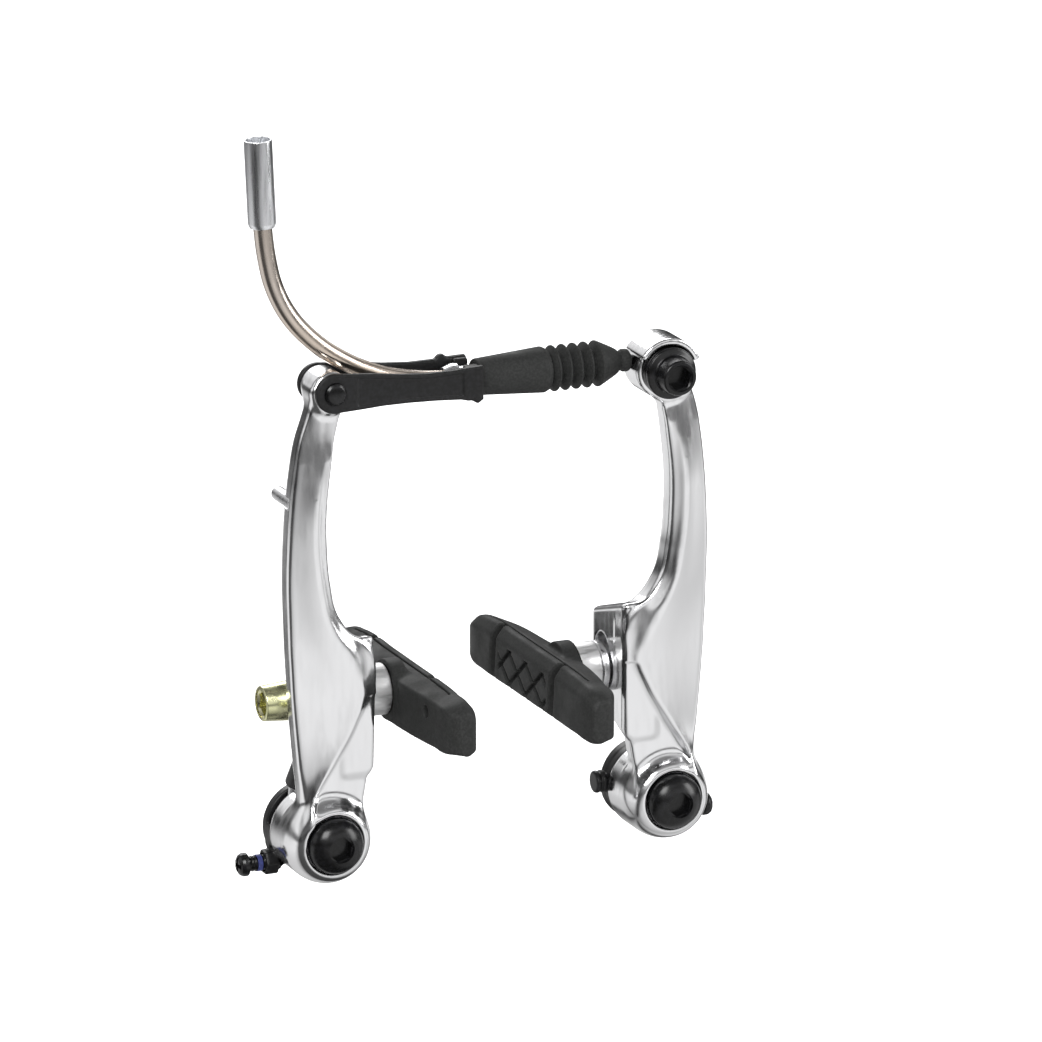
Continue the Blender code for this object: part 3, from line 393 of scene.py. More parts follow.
def section(u, v, points, k=0.5):
    """Distance to a convex outline of (u, v) corners, listed so that the inside is on their left."""
    out = None
    for (ua, va), (ub, vb) in zip(points, points[1:] + points[:1]):
        du, dv = ub - ua, vb - va
        size = np.sqrt(du * du + dv * dv)
        d = ((u - ua) * dv - (v - va) * du) / size
        out = d if out is None else both(out, d, k)
    return out


def slab(value, low, high, k=0.4):
    """The space between two parallel planes."""
    return both(low - value, value - high, k)


def polygon_distance(u, v, outline):
    """Signed distance to a closed outline, negative inside."""
    best = np.full(u.shape, 1e9)
    inside = np.zeros(u.shape, bool)
    for (ua, va), (ub, vb) in zip(outline, outline[1:] + outline[:1]):
        du, dv = ub - ua, vb - va
        t = np.clip(((u - ua) * du + (v - va) * dv) / (du * du + dv * dv), 0, 1)
        best = np.minimum(best, (u - ua - t * du) ** 2 + (v - va - t * dv) ** 2)
        if va != vb:
            inside ^= ((va > v) != (vb > v)) & (u < (ub - ua) * (v - va) / (vb - va) + ua)
    return np.where(inside, -1, 1) * np.sqrt(best)


def through(stations, column):
    """A smooth function of height through one column of the stations."""
    x = np.array([s[0] for s in stations], float)
    y = np.array([s[column] for s in stations], float)
    slope = np.gradient(y, x)

    def at(z):
        z = np.clip(z, x[0], x[-1])
        i = np.clip(np.searchsorted(x, z) - 1, 0, len(x) - 2)
        span = x[i + 1] - x[i]
        t = (z - x[i]) / span
        return ((2 * t ** 3 - 3 * t ** 2 + 1) * y[i] + (t ** 3 - 2 * t ** 2 + t) * span * slope[i]
                + (3 * t ** 2 - 2 * t ** 3) * y[i + 1] + (t ** 3 - t ** 2) * span * slope[i + 1])

    return at


def surface(name, distance, low, high, cell):
    """The zero surface of a distance function as an even quad mesh whose points lie on it."""
    margin = 1.5 * cell
    axes = [np.arange(a - margin, b + margin, cell) for a, b in zip(low, high)]
    grid = np.meshgrid(*axes, indexing="ij")
    inside = distance(*grid) < 0
    cells = [n - 1 for n in inside.shape]
    total = np.zeros(cells, np.int8)
    for i in (0, 1):
        for j in (0, 1):
            for k in (0, 1):
                total += inside[i:i + cells[0], j:j + cells[1], k:k + cells[2]]
    active = (total > 0) & (total < 8)
    index = np.full(cells, -1, np.int64)
    index[active] = np.arange(active.sum())
    where = np.argwhere(active)
    centres = np.stack([axes[a][where[:, a]] + cell / 2 for a in range(3)], 1)
    quads = []
    for axis in range(3):
        here = np.moveaxis(inside, axis, 0)
        change = here[:-1] != here[1:]
        solid = here[:-1]
        spots = np.argwhere(change[:, 1:-1, 1:-1])
        i, j, k = spots[:, 0], spots[:, 1] + 1, spots[:, 2] + 1
        order = [d for d in range(3) if d != axis]
        around = []
        for dj, dk in ((-1, -1), (0, -1), (0, 0), (-1, 0)):
            place = [None] * 3
            place[axis] = i
            place[order[0]], place[order[1]] = j + dj, k + dk
            around.append(index[place[0], place[1], place[2]])
        quad = np.stack(around, 1)
        flip = solid[i, j, k]
        if axis == 1:
            flip = ~flip
        quad[~flip] = quad[~flip][:, ::-1]
        quads.append(quad)
    quads = np.concatenate(quads)
    points = centres.copy()
    ends = np.concatenate([quads[:, [0, 1]], quads[:, [1, 2]], quads[:, [2, 3]], quads[:, [3, 0]]])

    def settle(points, rounds):
        """Points moved along the slope onto the surface, by at most 0.8 of a cell a round."""
        step = cell * 0.02
        for _ in range(rounds):
            value = distance(*points.T)
            grad = np.stack([
                (distance(*(points + step * e).T) - distance(*(points - step * e).T)) / (2 * step)
                for e in np.eye(3)
            ], 1)
            size = np.clip((grad ** 2).sum(1), 0.2, None)
            move = -(value / size)[:, None] * grad
            length = np.linalg.norm(move, axis=1, keepdims=True)
            points = points + move * np.minimum(1, cell * 0.8 / np.maximum(length, 1e-9))
        return points

    points = settle(points, 4)
    for _ in range(3):
        total, count = np.zeros_like(points), np.zeros(len(points))
        np.add.at(total, ends[:, 0], points[ends[:, 1]])
        np.add.at(total, ends[:, 1], points[ends[:, 0]])
        np.add.at(count, ends.ravel(), 1)
        points = settle(points * 0.5 + total / np.maximum(count, 1)[:, None] * 0.5, 2)
    mesh = bpy.data.meshes.new(name)
    mesh.vertices.add(len(points))
    mesh.vertices.foreach_set("co", (points * MM).astype(np.float32).ravel())
    mesh.loops.add(quads.size)
    mesh.loops.foreach_set("vertex_index", quads.astype(np.int32).ravel())
    mesh.polygons.add(len(quads))
    mesh.polygons.foreach_set("loop_start", np.arange(0, quads.size, 4, dtype=np.int32))
    mesh.update(calc_edges=True)
    mesh.validate()
    bm = bmesh.new()
    bm.from_mesh(mesh)
    bmesh.ops.recalc_face_normals(bm, faces=bm.faces)
    bm.to_mesh(mesh)
    bm.free()
    return mesh


# ---------------------------------------------------------------- arms

# Heights up the blade, each with the X of its outer edge, crest and inner edge, and the Y of its crest.
BLADE = (
    (0.0, 47.0, 46.2, 33.6, -18.3),
    (3.0, 47.2, 45.6, 33.0, -18.5),
    (10.0, 46.2, 44.3, 31.6, -18.5),
    (18.0, 46.9, 39.5, 30.4, -18.5),
    (26.0, 47.6, 34.8, 29.9, -18.5),
    (34.0, 48.2, 32.4, 29.6, -18.5),
    (40.0, 48.5, 35.0, 30.0, -18.5),
    (43.5, 48.7, 37.0, 31.8, -18.5),
    (46.5, 48.8, 38.8, 35.2, -18.5),
    (50.0, 48.9, 40.4, 37.7, -18.5),
    (58.0, 49.1, 42.2, 39.8, -18.5),
    (66.0, 48.9, 43.2, 40.5, -18.5),
    (74.0, 48.4, 43.2, 40.5, -18.5),
    (82.0, 47.5, 42.3, 39.7, -18.0),
    (90.0, 46.0, 41.2, 38.5, -16.9),
    (95.0, 44.3, 40.4, 37.2, -16.6),
    (99.0, 43.0, 39.8, 36.4, -16.5),
)
# Heights up the blade, each with the width of the face inside its crest.
FLANK = ((0.0, 1.2), (20.0, 1.3), (30.0, 2.0), (36.0, 5.0), (44.0, 9.0), (99.0, 9.0))
REAR_Y, SHOULDER_Y = -12.2, -16.0
OUTER, CREST, INNER, CREST_Y = (through(BLADE, column) for column in (1, 2, 3, 4))
SPREAD = through(FLANK, 1)
CROWN = 0.28
BLADE_FOOT, RIGHT_BLADE_TOP = 1.0, 95.0

PIVOT = 40.0
HUB_RADIUS, HUB_Y = 9.8, (-20.5, -5.5)
HUB_BORE = 5.75
RECESS_RADIUS, RECESS_Y = 6.45, -18.2
POCKET_RADIUS, POCKET_Y = 8.3, -9.4

BOSS_X, BOSS_Y = (29.3, 37.2), (-16.6, 1.6)
BOSS_FOOT, BOSS_TOP = 14.0, 44.7
SLOT_Y, SLOT_Z = -4.2, 28.5
SLOT_HALF_RUN, SLOT_HALF_WIDTH = 3.55, 3.45

# X, Z and radius of each head, and the Y of its front and rear.
HEADS = {"left": (39.2, 100.7, 4.4, -17.3, -9.3), "right": (38.6, 97.3, 6.5, -17.0, -8.6)}
HEAD_BORES = {"left": 2.1, "right": 2.7}
HOOD_INSIDE, HOOD_OUTSIDE, HOOD_Y = 6.05, 7.5, (-19.6, -10.0)
HOOD_MIDDLE, HOOD_HALF_ANGLE = 84, 66
DEGREES_IN_RADIAN = 57.3
STOP_PIN = (46.8, 76.0)
STOP_PIN_HOLE, STOP_PIN_HOLE_FLOOR = 1.75, -14.5


def blade_distance(x, y, z, blade_top):
    """The long blade: a crowned leaf with a crest, on a flat base."""
    outer, crest, inner, top = OUTER(z), CREST(z), INNER(z), CREST_Y(z)
    foot = np.maximum(crest - SPREAD(z), inner)
    foot_y = np.where(crest - SPREAD(z) > inner, -15.4, np.maximum(-16.8, top + 0.7))
    across_leaf = np.clip((x - crest) / (outer - crest), 0, 1)
    crown = CROWN * 4 * across_leaf * (1 - across_leaf)
    leaf_outline = [(outer, REAR_Y), (foot, REAR_Y), (foot, foot_y), (crest, top), (outer, SHOULDER_Y)]
    leaf = section(x, y + crown, leaf_outline, 0.7)
    base_outline = [(outer - 0.2, REAR_Y), (inner, REAR_Y), (inner, np.maximum(-16.45, top + 0.9)),
                    (outer - 0.2, np.maximum(-16.3, top + 1.2))]
    blade = either(leaf, section(x, y, base_outline, 1.2), 1.3)
    return both(blade, slab(z, BLADE_FOOT, blade_top), 1.0)


def boss_distance(x, y, z):
    """The pad boss, with its top and its foot sloping back."""
    boss = both(slab(x, *BOSS_X, 0.9), slab(y, *BOSS_Y, 2.2), 1.7)
    boss = both(boss, (z - BOSS_TOP) + (y + 14.0) * 0.31, 1.4)
    return both(boss, BOSS_FOOT - z + (y + 16.6) * 0.39, 2.0)


def hub_distance(across, y):
    """The hub, its front edge bevelled."""
    hub = both(across - HUB_RADIUS, slab(y, *HUB_Y, 0.5), 0.6)
    return both(hub, (across - HUB_RADIUS) * 0.75 - (y + 17.3) * 0.66, 2.4)


def arm_distance(label):
    side = SIDES[label]
    head_x, head_z, head_r, head_front, head_rear = HEADS[label]
    blade_top = head_z if label == "left" else RIGHT_BLADE_TOP

    def distance(x, y, z):
        x = x * side
        across = np.hypot(x - PIVOT, z)
        head_run = np.hypot(x - head_x, z - head_z)
        head = both(head_run - head_r, slab(y, head_front, head_rear, 1.2), 1.2)
        solid = either(blade_distance(x, y, z, blade_top), boss_distance(x, y, z), 1.3)
        solid = either(solid, hub_distance(across, y), 2.2)
        solid = either(solid, head, 2.4)
        if label == "right":
            angle = np.degrees(np.arctan2(z - head_z, x - head_x))
            wedge = (np.abs(angle - HOOD_MIDDLE) - HOOD_HALF_ANGLE) * head_r / DEGREES_IN_RADIAN
            hood = both(head_run - HOOD_OUTSIDE, HOOD_INSIDE - head_run, 0.3)
            hood = both(hood, slab(y, *HOOD_Y, 0.5), 0.4)
            solid = either(solid, both(hood, wedge, 0.5), 0.8)
        slot_ends = np.maximum(np.abs(z - SLOT_Z) - SLOT_HALF_RUN, 0)
        slot = np.hypot(y - SLOT_Y, slot_ends) - SLOT_HALF_WIDTH
        solid = less(solid, both(slot, slab(x, 20, 50), 0.2), 0.5)
        recess = both(across - RECESS_RADIUS, y - RECESS_Y, 0.3)
        pocket = both(across - POCKET_RADIUS, POCKET_Y - y, 0.3)
        solid = less(solid, recess, 1.1)
        solid = less(solid, either(across - HUB_BORE, pocket, 0.2), 0.4)
        hole = np.hypot(x - STOP_PIN[0], z - STOP_PIN[1]) - STOP_PIN_HOLE
        solid = less(solid, both(hole, STOP_PIN_HOLE_FLOOR - y, 0.2), 0.3)
        return less(solid, head_run - HEAD_BORES[label], 0.3)

    return distance


def arms():
    cell = 0.42
    for label in SIDES:
        low, high = corners(f"{label}_arm")
        mesh = surface(f"{label}_forging", arm_distance(label), low, high, cell)
        piece(f"{label}_forging", mesh, "forged_aluminium", f"{label}_arm_body", f"{label}_arm")


# ---------------------------------------------------------------- pads

STUD_Z = {"left": 29.0, "right": 28.0}
PAD_MID = {label: z - 1.4 for label, z in STUD_Z.items()}
# Places along the pad, each with the X of its face and back, and its shares of the height below and above.
PAD_STATIONS = (
    (-35.8, 13.8, 18.0, 0.90, 0.55),
    (-33.6, 13.1, 19.4, 0.98, 0.78),
    (-26.8, 12.9, 20.4, 1.0, 0.94),
    (-16.2, 12.9, 21.6, 1.0, 1.0),
    (-4.2, 12.9, 22.0, 1.0, 1.0),
    (7.8, 12.9, 21.5, 1.0, 1.0),
    (24.5, 12.9, 19.6, 1.0, 0.96),
    (30.5, 13.1, 18.2, 0.97, 0.80),
    (33.5, 13.8, 17.0, 0.88, 0.58),
)
FACE_X, BACK_X, BELOW, ABOVE = (through(PAD_STATIONS, column) for column in (1, 2, 3, 4))
PAD_ENDS = (-35.75, 33.45)
COLLAR_RADIUS, COLLAR_X = 6.5, (18.5, 22.2)
GROOVES_Y, GROOVE_DEPTH = (-14.0, 18.2), 3.0
HATCH_PITCH, HATCH_HALF_WIDTH, HATCH_DEPTH = 5.6, 0.58, 1.3
HATCH_RISE = 0.8
SLIT_HALF_WIDTH, SLIT_HALF_LENGTH, SLIT_BEHIND_FACE = 0.22, 27.0, 3.4
STUD_SOCKET, STUD_SOCKET_FLOOR = 3.3, 17.0
NOWHERE = 1e9


def hatch_distance(x, y, z, face):
    """The shallow diamond pattern pressed into the friction face."""
    lines = np.full(x.shape, NOWHERE)
    for slope in (1.0, -1.0):
        along = (y * HATCH_RISE + slope * (z + 1.0)) / math.hypot(HATCH_RISE, 1.0)
        wave = np.abs((along / HATCH_PITCH) % 1.0 - 0.5) * HATCH_PITCH
        lines = np.minimum(lines, wave - HATCH_HALF_WIDTH)
    area = both(slab(y, -11.2, 15.2), slab(z, -9.0, 3.0), 0.2)
    return both(both(lines, x - face - HATCH_DEPTH, 0.3), area, 0.3)


def pad_distance(label):
    side, mid, stud = SIDES[label], PAD_MID[label], STUD_Z[label]

    def distance(x, y, z):
        x = x * side
        z = z - mid
        face, back, below, above = FACE_X(y), BACK_X(y), BELOW(y), ABOVE(y)
        edge = face + 1.8
        outline = [(face, -5.4 * below), (edge, -6.7 * below), (back, -5.6 * below), (back, 4.8 * above),
                   (edge + 2.2, 6.2 * above), (edge, 6.3 * above), (face, 3.9 * above)]
        body = both(section(x, z, outline, 0.5), slab(y, *PAD_ENDS), 0.9)
        from_stud = np.hypot(y - SLOT_Y, z + mid - stud)
        body = either(body, both(from_stud - COLLAR_RADIUS, slab(x, *COLLAR_X, 0.3), 0.4), 1.2)
        for at in GROOVES_Y:
            lean = (z + 1) * -0.12
            width = 1.45 - np.clip(x - face, 0, GROOVE_DEPTH) * 0.22
            groove = both(np.abs(y - at - lean) - width, x - face - GROOVE_DEPTH, 0.4)
            body = less(body, groove, 0.35)
        body = less(body, hatch_distance(x, y, z, face), 0.25)
        slit = both(np.abs(x - (face + SLIT_BEHIND_FACE)) - SLIT_HALF_WIDTH,
                    slab(y, -SLIT_HALF_LENGTH, SLIT_HALF_LENGTH), 0.2)
        body = less(body, both(slit, 5.4 * above - z, 0.1), 0.2)
        oval = both(np.hypot(y + 24.0, (z - 1.6) / 1.35) - 1.05, 17.5 - x, 0.3)
        body = less(body, oval, 0.3)
        socket = both(from_stud - STUD_SOCKET, STUD_SOCKET_FLOOR - x, 0.3)
        return less(body, socket, 0.3)

    return distance


def pads():
    cell = 0.3
    for label in SIDES:
        low, high = corners(f"{label}_brake_pad")
        mesh = surface(f"{label}_rubber_pad", pad_distance(label), low, high, cell)
        piece(f"{label}_rubber_pad", mesh, "black_rubber", f"{label}_pad_body", f"{label}_brake_pad")


BALL_X, BALL_HALF = 33.15, 4.15
BALL_BORE, CUP_BORE, BALL_GAP = 3.65, 3.35, 0.3
PAD_BACK = 22.0
STUD_RADIUS = 3.0


def ball_run(radius, start, end, count=9):
    """Points on a ball's outline between two distances from its axis."""
    out = []
    for i in range(count):
        r = start + (end - start) * i / (count - 1)
        out.append((r, math.sqrt(radius ** 2 - r ** 2)))
    return out


def concave_washers(label, side):
    """The ball and cup washers on both sides of the boss, and how far the outer cup reaches."""
    for place, rim, edge, towards in (("inner", 5.7, 1.3, -side), ("outer", 5.0, 0.78, side)):
        radius = math.hypot(BALL_HALF + edge, rim)
        base = (side * BALL_X, SLOT_Y, STUD_Z[label])
        ball = [(BALL_BORE, BALL_HALF), *ball_run(radius, BALL_BORE, rim), (rim, BALL_HALF)]
        mesh = lathe(f"{label}_{place}_ball", ball, base, (towards, 0, 0), 72, 0.18, True)
        crisp(piece(f"{label}_{place}_ball", mesh, "plated_steel", f"{label}_pad_seat",
                    f"{label}_{place}_ball_washer"))
        inside = radius + BALL_GAP
        if place == "inner":
            back = BALL_X - PAD_BACK - 0.5
        else:
            back = math.sqrt(inside ** 2 - CUP_BORE ** 2) + 1.3
        cup = [(CUP_BORE, back), *ball_run(inside, CUP_BORE, rim), (rim, back)]
        mesh = lathe(f"{label}_{place}_cup", cup, base, (towards, 0, 0), 72, 0.3, True)
        look = "satin_steel" if place == "inner" else "plated_steel"
        crisp(piece(f"{label}_{place}_cup", mesh, look, f"{label}_pad_cups", f"{label}_{place}_cup_washer"))
    return back


def pad_hardware():
    for label, side in SIDES.items():
        z = STUD_Z[label]
        outwards = (side, 0, 0)
        flat = BALL_X + concave_washers(label, side) + 0.3
        profile = [(5.0, 1.0), (5.0, 0), (CUP_BORE, 0), (CUP_BORE, 1.0)]
        mesh = lathe(f"{label}_washer_ring", profile, (side * flat, SLOT_Y, z), outwards, 72, 0.2, True)
        crisp(piece(f"{label}_washer_ring", mesh, "plated_steel", f"{label}_pad_body",
                    f"{label}_flat_washer"))
        low, high = corners(f"{label}_pad_stud")
        inner_end = low.x if side > 0 else -high.x
        length = high.x - low.x
        profile = [(0, length), (STUD_RADIUS, length), (STUD_RADIUS, 0), (0, 0)]
        mesh = lathe(f"{label}_stud_rod", profile, (side * inner_end, SLOT_Y, z), outwards, 48, 0.2)
        crisp(piece(f"{label}_stud_rod", mesh, "plated_steel", f"{label}_pad_body", f"{label}_pad_stud"))
        nut = flat + 1.3
        profile = [(3.85, 8.4), (4.45, 1.5), (4.6, 1.2), (4.6, 0), (3.3, 0), (3.3, 5.2), (1.2, 5.2),
                   (1.2, 8.4)]
        body = lathe(f"{label}_tapered_nut", profile, (side * nut, SLOT_Y, z), outwards, 72, 0.3, True)
        socket = prism_mesh("nut_hex", polygon(6, SOCKET_FLATS), (side * (nut + 5.8), SLOT_Y, z), outwards, 6)
        mouth = lathe("nut_mouth", [(0, 4), (3.5, 4), (3.1, 0.0), (2.6, -0.5), (0, -0.5)],
                      (side * (nut + 8.1), SLOT_Y, z), outwards, 48, 0.0)
        crisp(piece(f"{label}_tapered_nut", carved(body, socket, mouth), "yellow_zinc",
                    f"{label}_pad_body", f"{label}_pad_nut"))


# ---------------------------------------------------------------- pivots, springs and screws

SLEEVE_RADIUS, SLEEVE_BORE, SLEEVE_LENGTH = 5.4, 4.1, 18.6
BOLT_SEAT_Y, BOLT_HEAD_RADIUS, BOLT_SKIRT, BOLT_DOME = -18.9, 6.2, 1.1, 3.8
BOLT_SHANK_RADIUS, BOLT_SHANK_LENGTH = 3.0, 9.0
SCREW_Y, SCREW_Z = -3.0, -7.4
KNOB_Y, KNOB_Z = -2.9, 0.9


def pivots():
    for label, side in SIDES.items():
        pivot_sleeve(label, side)
        mounting_bolt(label, side)
        holder(label, side)
        spring(label, side)
        screw(label, side)
        stop_peg(label, side)


def pivot_sleeve(label, side):
    profile = [(SLEEVE_RADIUS, SLEEVE_LENGTH), (SLEEVE_RADIUS, 0), (SLEEVE_BORE, 0),
               (SLEEVE_BORE, SLEEVE_LENGTH)]
    mesh = lathe(f"{label}_sleeve_tube", profile, (side * PIVOT, 0, 0), TO_FRONT, 72, 0.2, True)
    crisp(piece(f"{label}_sleeve_tube", mesh, "plated_steel", "fork_mounts", f"{label}_pivot_sleeve"))


def mounting_bolt(label, side):
    x = side * PIVOT
    profile = [(0, BOLT_SKIRT + BOLT_DOME)]
    for angle in range(84, 0, -6):
        a = math.radians(angle)
        profile.append((BOLT_HEAD_RADIUS * math.cos(a), BOLT_SKIRT + BOLT_DOME * math.sin(a)))
    profile += [(BOLT_HEAD_RADIUS, BOLT_SKIRT), (BOLT_HEAD_RADIUS, 0), (BOLT_SHANK_RADIUS, 0),
                (BOLT_SHANK_RADIUS, -BOLT_SHANK_LENGTH), (0, -BOLT_SHANK_LENGTH)]
    head = lathe(f"{label}_dome_bolt", profile, (x, BOLT_SEAT_Y, 0), TO_FRONT, 96, 0.12)
    socket = prism_mesh("bolt_hex", polygon(6, SOCKET_FLATS, 0.3), (x, BOLT_SEAT_Y - 1.9, 0), TO_FRONT, 8)
    mouth = lathe("bolt_mouth", [(0, 4), (3.05, 4), (2.9, 0.0), (0, 0.0)],
                  (x, BOLT_SEAT_Y - 3.7, 0), TO_FRONT, 48, 0.0)
    crisp(piece(f"{label}_dome_bolt", carved(head, socket, mouth), "black_steel", "fork_mounts",
                f"{label}_mounting_bolt"), 38)


def stop_peg(label, side):
    low, high = corners(f"{label}_spring_stop_pin")
    length = high.y - low.y
    mesh = lathe(f"{label}_stop_peg", [(0, length), (1.1, length), (1.6, length - 0.6), (1.6, 0), (0, 0)],
                 (side * STOP_PIN[0], low.y, STOP_PIN[1]), (0, 1, 0), 48, 0.3)
    crisp(piece(f"{label}_stop_peg", mesh, "plated_steel", f"{label}_arm_body", f"{label}_spring_stop_pin"))


def holder(label, side):
    """The spring's cup, with a hexagonal lug for the screw on one side and a ribbed knob on the other."""
    def distance(x, y, z):
        x = x * side
        across = np.hypot(x - PIVOT, z)
        wall = both(both(across - 9.3, 8.4 - across, 0.3), slab(y, -5.2, -0.4, 0.3), 0.35)
        floor = both(both(across - 9.3, 5.7 - across, 0.3), slab(y, -2.6, -0.4, 0.3), 0.35)
        angle = np.degrees(np.arctan2(z, x - PIVOT))
        gate = both((np.abs(angle - 48) - 40) * 9 / DEGREES_IN_RADIAN, y + 2.7, 0.2)
        cup = either(less(wall, gate, 0.3), floor, 0.4)
        u, v = y - SCREW_Y, z - SCREW_Z
        nut = both(both(np.abs(v) - 2.5, np.abs(v * 0.5 + u * 0.866) - 2.5, 0.2),
                   np.abs(v * 0.5 - u * 0.866) - 2.5, 0.2)
        lug = both(slab(x, 47.3, 50.4, 0.3), nut, 0.4)
        bridge = both(section(x - PIVOT, z, [(3.2, -8.3), (7.6, -10.4), (8.6, -4.0), (7.9, -2.6)], 0.3),
                      slab(y, -2.5, -0.4), 0.3)
        from_knob = np.hypot(y - KNOB_Y, z - KNOB_Z)
        knob = both(from_knob - 2.5, slab(x, 28.0, 30.6, 0.4), 0.6)
        neck = both(from_knob - 1.6, slab(x, 30.0, 31.3), 0.3)
        ring_groove = both(np.abs(x - 29.3) - 0.25, 2.1 - from_knob, 0.1)
        knob = either(less(knob, ring_groove, 0.2), neck, 0.3)
        body = either(either(either(cup, bridge, 0.8), lug, 0.8), knob, 0.5)
        tapped = both(np.hypot(u, v) - 2.1, 45.0 - x, 0.2)
        return less(body, tapped, 0.2)

    low, high = corners(f"{label}_spring_holder")
    mesh = surface(f"{label}_holder_cup", distance, low, high, 0.34)
    piece(f"{label}_holder_cup", mesh, "black_plastic", "fork_mounts", f"{label}_spring_holder")


def spring(label, side):
    """The return spring: two coils in the holder, then a leg with a plastic sleeve up behind the blade."""
    coil_radius, leaves_at, turns, pitch = 7.0, 50.0, 2, 1.95
    coil_y, per_turn = -4.2, 40
    path = []
    for i in range(turns * per_turn, -1, -1):
        a = math.radians(leaves_at - 360.0 * i / per_turn)
        path.append(Vector((side * PIVOT + side * coil_radius * math.cos(a), coil_y - pitch * i / per_turn,
                            coil_radius * math.sin(a))))
    leg = [(44.0, -4.2, 7.6), (43.9, -4.5, 9.6), (43.9, -7.6, 13.6), (43.9, -11.1, 18.2), (43.9, -11.1, 20.5),
           (44.0, -11.1, 50.0), (44.1, -11.1, 80.0)]
    path += smooth_path([(side * x, y, z) for x, y, z in leg], 6)
    mesh = tube(f"{label}_spring_wire", path, 0.8, 0.0, 16)
    crisp(piece(f"{label}_spring_wire", mesh, "plated_steel", f"{label}_arm_body",
                f"{label}_return_spring"), 60)
    sleeve_start, sleeve_end = (Vector((side * x, y, z)) for x, y, z in (leg[1], leg[3]))
    run = sleeve_end - sleeve_start
    length = run.length * 0.74
    profile = [(1.95, length), (1.95, 0), (1.1, 0), (1.1, length)]
    mesh = lathe(f"{label}_leg_sleeve", profile, sleeve_start + run * 0.12, run, 48, 0.25, True)
    crisp(piece(f"{label}_leg_sleeve", mesh, "black_plastic", f"{label}_arm_body", f"{label}_spring_sleeve"))


def screw(label, side):
    """The threaded tension screw with its crossed slots and its ring of thread lock."""
    low, high = corners(f"{label}_tension_screw")
    tip = min(abs(low.x), abs(high.x))
    reach = high.x - low.x
    outwards = (side, 0, 0)
    thread_radius, thread_root, pitch, turns = 1.8, 1.52, 0.7, 9
    profile = [(0, reach), (1.5, reach - 0.02), (2.25, reach - 0.5), (2.6, reach - 1.2), (2.6, reach - 2.1),
               (thread_radius, reach - 2.4)]
    for i in range(turns, 0, -1):
        profile += [(thread_radius, 0.4 + i * pitch), (thread_root, 0.4 + i * pitch - 0.35)]
    profile += [(thread_radius, 0.5), (1.3, 0), (0, 0)]
    body = lathe(f"{label}_cross_screw", profile, (side * tip, SCREW_Y, SCREW_Z), outwards, 48, 0.12)
    cuts = []
    for name, size in (("tall", (0.9, 3.6)), ("wide", (3.6, 0.9))):
        u, v = size[0] / 2, size[1] / 2
        cuts.append(prism_mesh(f"{name}_slot", [(-u, -v), (u, -v), (u, v), (-u, v)],
                               (side * (tip + reach - 1.2), SCREW_Y, SCREW_Z), outwards, 4))
    crisp(piece(f"{label}_cross_screw", carved(body, *cuts), "black_steel", f"{label}_screw_body",
                f"{label}_tension_screw"))
    mesh = lathe(f"{label}_lock_patch", [(1.86, 1.1), (1.86, 0), (1.6, 0), (1.6, 1.1)],
                 (side * 50.9, SCREW_Y, SCREW_Z), outwards, 48, 0.08, True)
    crisp(piece(f"{label}_lock_patch", mesh, "blue_patch", f"{label}_screw_body"))


# ---------------------------------------------------------------- link, noodle, boot and anchor

CABLE_Y, CABLE_Z = -12.6, 99.2
LINK_PIN_X, LINK_PIN_Z = -39.2, 100.7
LINK_EYE_RADIUS = 4.35
LINK_EYE = [(LINK_PIN_X + LINK_EYE_RADIUS * math.cos(math.radians(a)),
             LINK_PIN_Z + LINK_EYE_RADIUS * math.sin(math.radians(a))) for a in range(78, 280, 8)]
FRONT_PLATE_Y, REAR_PLATE_Y = (-19.15, -17.65), (-8.95, -7.45)
LINK_OUTLINE = (
    LINK_EYE
    + [(-33.5, 96.6), (-28.0, 96.9), (-22.0, 96.9), (-16.0, 96.7), (-10.0, 96.3), (-8.6, 95.9),
       (-4.85, 95.8), (-4.85, 103.3), (-8.3, 103.2), (-12.0, 102.95), (-18.0, 102.9), (-24.0, 103.4),
       (-30.0, 104.2)]
)


